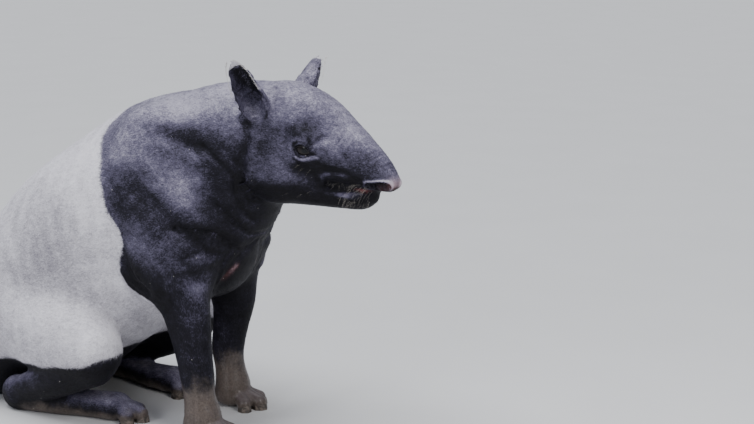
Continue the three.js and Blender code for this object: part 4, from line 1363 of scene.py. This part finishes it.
def add_lashes(rng, material):
    """Lashes on the edge of the upper lid."""
    share = np.linspace(-0.92, 0.92, LASHES)
    length, rise, _ = EYE_OPENING
    u, v = share * length, rise * (1 - share ** 2) + 0.8
    c, s = math.cos(EYE_SLANT), math.sin(EYE_SLANT)
    dx, dz = c * u - s * v + EYE_SHIFT[0], s * u + c * v + EYE_SHIFT[1]
    rx, ry, rz = (r + LID for r in EYE_RADII)
    dy = -ry * np.sqrt(np.maximum(1 - (dx / rx) ** 2 - (dz / rz) ** 2, 0.01))
    root = EYE_CENTRE + np.stack([dx, dy, dz], 1)
    out = np.stack([0.10 + 0.5 * share, np.full(LASHES, -0.85), np.full(LASHES, -0.42)], 1)
    out = unit(out + rng.normal(0, 0.1, (LASHES, 3)))
    tip = root + out * rng.uniform(6, 10, LASHES)[:, None]
    bends = np.tile((0, 0, -0.9), (2 * LASHES, 1))
    add_strands("lashes", on_both_sides(root), on_both_sides(tip), bends, 0.26, material)


def add_ear_fringe():
    """White hairs along the ears' edges."""
    rng = np.random.default_rng(23)
    white = strand_material("white ear fringe", (0.62, 0.6, 0.6), (0.82, 0.8, 0.78))
    roots, tips = [], []
    for side, sign in SIDES:
        axis, along, opens, across = ear_frames(EAR_DROOP[side])
        for edge in (-1, 1):
            station = rng.uniform(2.4, 5.9, FRINGE_HAIRS)
            mix = between(axis, station)
            wrap, radius, _ = ear_section(station)
            radius = radius - 2.4
            root = mix(axis) + mix(across) * (edge * radius * np.sin(wrap))[:, None]
            root = root - mix(opens) * (radius * np.cos(wrap) + 1.2)[:, None]
            way = mix(along) + 0.35 * mix(opens) - 0.25 * edge * mix(across)
            way = unit(way + rng.normal(0, 0.2, (FRINGE_HAIRS, 3)))
            tip = root + way * rng.uniform(5, 10, (FRINGE_HAIRS, 1))
            roots.append(from_head(root * (1, -sign, 1)))
            tips.append(from_head(tip * (1, -sign, 1)))
    roots, tips = np.concatenate(roots), np.concatenate(tips)
    add_strands("ear_fringe", roots, tips, np.zeros_like(roots), 0.38, white)


# Eyes and hooves

# Angles from the middle of the gaze, in degrees, over which the eye's colour changes
PUPIL_EDGE = 15, 18
IRIS_RIM = 36, 41
EYE_WHITE = 52, 64
HOOF_ROUNDING = 0.0022


def add_eye(side, out, material):
    bm = bmesh.new()
    bmesh.ops.create_uvsphere(bm, u_segments=64, v_segments=40, radius=1.0)
    centre = from_head((EYE_CENTRE * (1, -out, 1))[None])[0]
    gaze = np.array([0.22, out * 0.96, -0.05])
    gaze /= np.linalg.norm(gaze)
    turned = Vector((0, 0, 1)).rotation_difference(Vector(gaze))
    places, from_gaze = [], []
    for v in bm.verts:
        look = v.co.z
        cornea = 0.7 * math.exp(-(((1 - look) / 0.10) ** 2))
        places.append(centre + np.array(turned @ v.co) * (np.array(EYE_RADII) - 0.6 + cornea))
        from_gaze.append(math.degrees(math.acos(max(-1, min(1, look)))))
    for v, place in zip(bm.verts, to_metres(places)):
        v.co = place
    mesh = bpy.data.meshes.new(f"eyeball_{side}")
    bm.to_mesh(mesh)
    bm.free()
    shade_smooth(mesh)
    set_attribute(mesh, "gaze", from_gaze)
    eye = add_piece(f"eyeball_{side}", mesh, material)
    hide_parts(f"eye_{side}")


def eye_material():
    """A wet eye: a dark brown iris round a black pupil, a darker rim and the brown edge of its white."""
    material, tree, shader = new_material("tapir eye")
    gaze, where = attribute(tree, "gaze"), object_place(tree)
    iris = mixed(tree, noise(tree, where, 0.0015, 3, 0.6), (0.005, 0.004, 0.004), (0.016, 0.011, 0.009))
    colour = mixed(tree, masked(tree, gaze, *PUPIL_EDGE), (0.003, 0.003, 0.004), iris)
    colour = mixed(tree, masked(tree, gaze, *IRIS_RIM), colour, (0.006, 0.004, 0.004))
    colour = mixed(tree, masked(tree, gaze, *EYE_WHITE), colour, (0.03, 0.024, 0.024))
    haze = calc(tree, "MULTIPLY", noise(tree, where, 0.012, 3, 0.6), 0.02)
    fill(tree, shader, {
        "Base Color": mixed(tree, haze, colour, (0.3, 0.34, 0.42)),
        "Roughness": 0.14,
        "Specular IOR Level": 0.06,
        "Coat Weight": 0.28,
        "Coat Roughness": 0.03,
    })
    return material


def hoof_material():
    """Dark horn with fine upright ridges and blots of mud."""
    material, tree, shader = new_material("tapir hoof")
    plus, _, times = sums(tree)
    where = object_place(tree)
    ridges = noise(tree, where, 0.0016, 3, 0.6, (1, 1, 0.12))
    blots = noise(tree, where, 0.012, 4, 0.65)
    horn = mixed(tree, ridges, (0.022, 0.018, 0.016), (0.085, 0.07, 0.06))
    fill(tree, shader, {
        "Base Color": mixed(tree, masked(tree, blots, 0.45, 0.62), horn, (0.17, 0.135, 0.11)),
        "Roughness": plus(0.34, times(blots, 0.3)),
        "Coat Weight": 0.15,
    })
    add_bump(tree, shader, ridges, 0.5, 0.0008)
    return material


def add_hoof(name, material):
    """A smoother hoof made from a copy of the solid one."""
    bm = bmesh.new()
    bm.from_mesh(bpy.data.objects[name].data)
    bmesh.ops.remove_doubles(bm, verts=bm.verts, dist=1e-5)
    sharp = [e for e in bm.edges if len(e.link_faces) == 2 and e.calc_face_angle(0) > 0.6]
    bmesh.ops.bevel(bm, geom=sharp, offset=HOOF_ROUNDING, segments=2, profile=0.6, affect="EDGES",
                    clamp_overlap=True)
    bmesh.ops.triangulate(bm, faces=bm.faces)
    bmesh.ops.subdivide_edges(bm, edges=bm.edges, cuts=1, use_grid_fill=True)
    bmesh.ops.smooth_vert(bm, verts=bm.verts, factor=0.35, use_axis_x=True, use_axis_y=True)
    mesh = bpy.data.meshes.new(name + "_horn")
    bm.to_mesh(mesh)
    bm.free()
    shade_smooth(mesh)
    hoof = add_piece(name + "_horn", mesh, material)
    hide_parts(name)


# Studio

FLOOR_HALF = 60
SKY_WAY = (0.18, 0.10, -1.0)
# Name, place, aim, energy, size and colour
SOFTBOXES = [
    ("front softbox", (3.0, -1.2, 2.6), (0.2, 0, 0.7), 55, 1.4, (1.0, 0.99, 0.97)),
    ("side softbox", (-0.8, -3.4, 1.9), (-0.2, 0, 0.6), 34, 1.0, (0.95, 0.96, 1.0)),
]
CAMERA_PLACE = (2.7009, -3.4643, 1.460)
CAMERA_LOOK = (-0.4903, 0.8492, -0.1959)


def aimed(name, data, way):
    """A lamp or camera that looks along a way."""
    obj = linked(name, data)
    obj.rotation_euler = Vector(way).to_track_quat("-Z", "Y").to_euler()
    return obj


def add_floor():
    mesh = bpy.data.meshes.new("floor")
    corners = [(FLOOR_HALF * x, FLOOR_HALF * y, 0) for x, y in ((-1, -1), (1, -1), (1, 1), (-1, 1))]
    mesh.from_pydata(corners, [], [(0, 1, 2, 3)])
    floor = linked("floor", mesh)
    material, tree, shader = new_material("pale floor")
    cloud = noise(tree, object_place(tree), 0.4, 3, 0.5)
    fill(tree, shader, {
        "Base Color": mixed(tree, cloud, (0.68, 0.68, 0.685), (0.73, 0.73, 0.735)),
        "Roughness": 0.75,
    })
    mesh.materials.append(material)


def add_lights():
    world = bpy.data.worlds.new("studio")
    bpy.context.scene.world = world
    world.use_nodes = True
    background = world.node_tree.nodes["Background"]
    fill(world.node_tree, background, {"Color": (0.86, 0.9, 1.0, 1), "Strength": 0.30})
    sky = bpy.data.lights.new("sky light", "SUN")
    sky.energy, sky.angle, sky.color = 2.9, math.radians(50), (0.95, 0.97, 1.0)
    aimed("sky light", sky, SKY_WAY)
    for name, place, aim, energy, size, colour in SOFTBOXES:
        light = bpy.data.lights.new(name, "AREA")
        light.energy, light.size, light.color = energy, size, colour
        aimed(name, light, Vector(aim) - Vector(place)).location = place


def add_camera():
    lens = bpy.data.cameras.new("camera")
    lens.sensor_width, lens.lens = 36, 74.2
    camera = aimed("camera", lens, CAMERA_LOOK)
    camera.location = CAMERA_PLACE
    bpy.context.scene.camera = camera


# The whole scene

grain = fur_grain_group()
colours = coat_colour_group()
skin, places, masks = add_skin(skin_material(grain, colours))
add_coat(skin, places, masks, hair_material("tapir coat", colours))
face_draws = np.random.default_rng(17)
add_whiskers(face_draws, strand_material("pale whisker", (0.30, 0.27, 0.24), (0.62, 0.58, 0.53)))
add_lashes(face_draws, strand_material("dark lash", (0.012, 0.011, 0.012), (0.04, 0.036, 0.04)))
add_ear_fringe()
eye = eye_material()
horn = hoof_material()
for side, sign in SIDES:
    add_eye(side, sign, eye)
for side, _ in SIDES:
    for foot, toes in (("forehoof", FORE_TOES), ("hindhoof", HIND_TOES)):
        for n in range(len(toes)):
            add_hoof(f"{foot}_{side}_{n + 1}", horn)
add_floor()
add_lights()
add_camera()
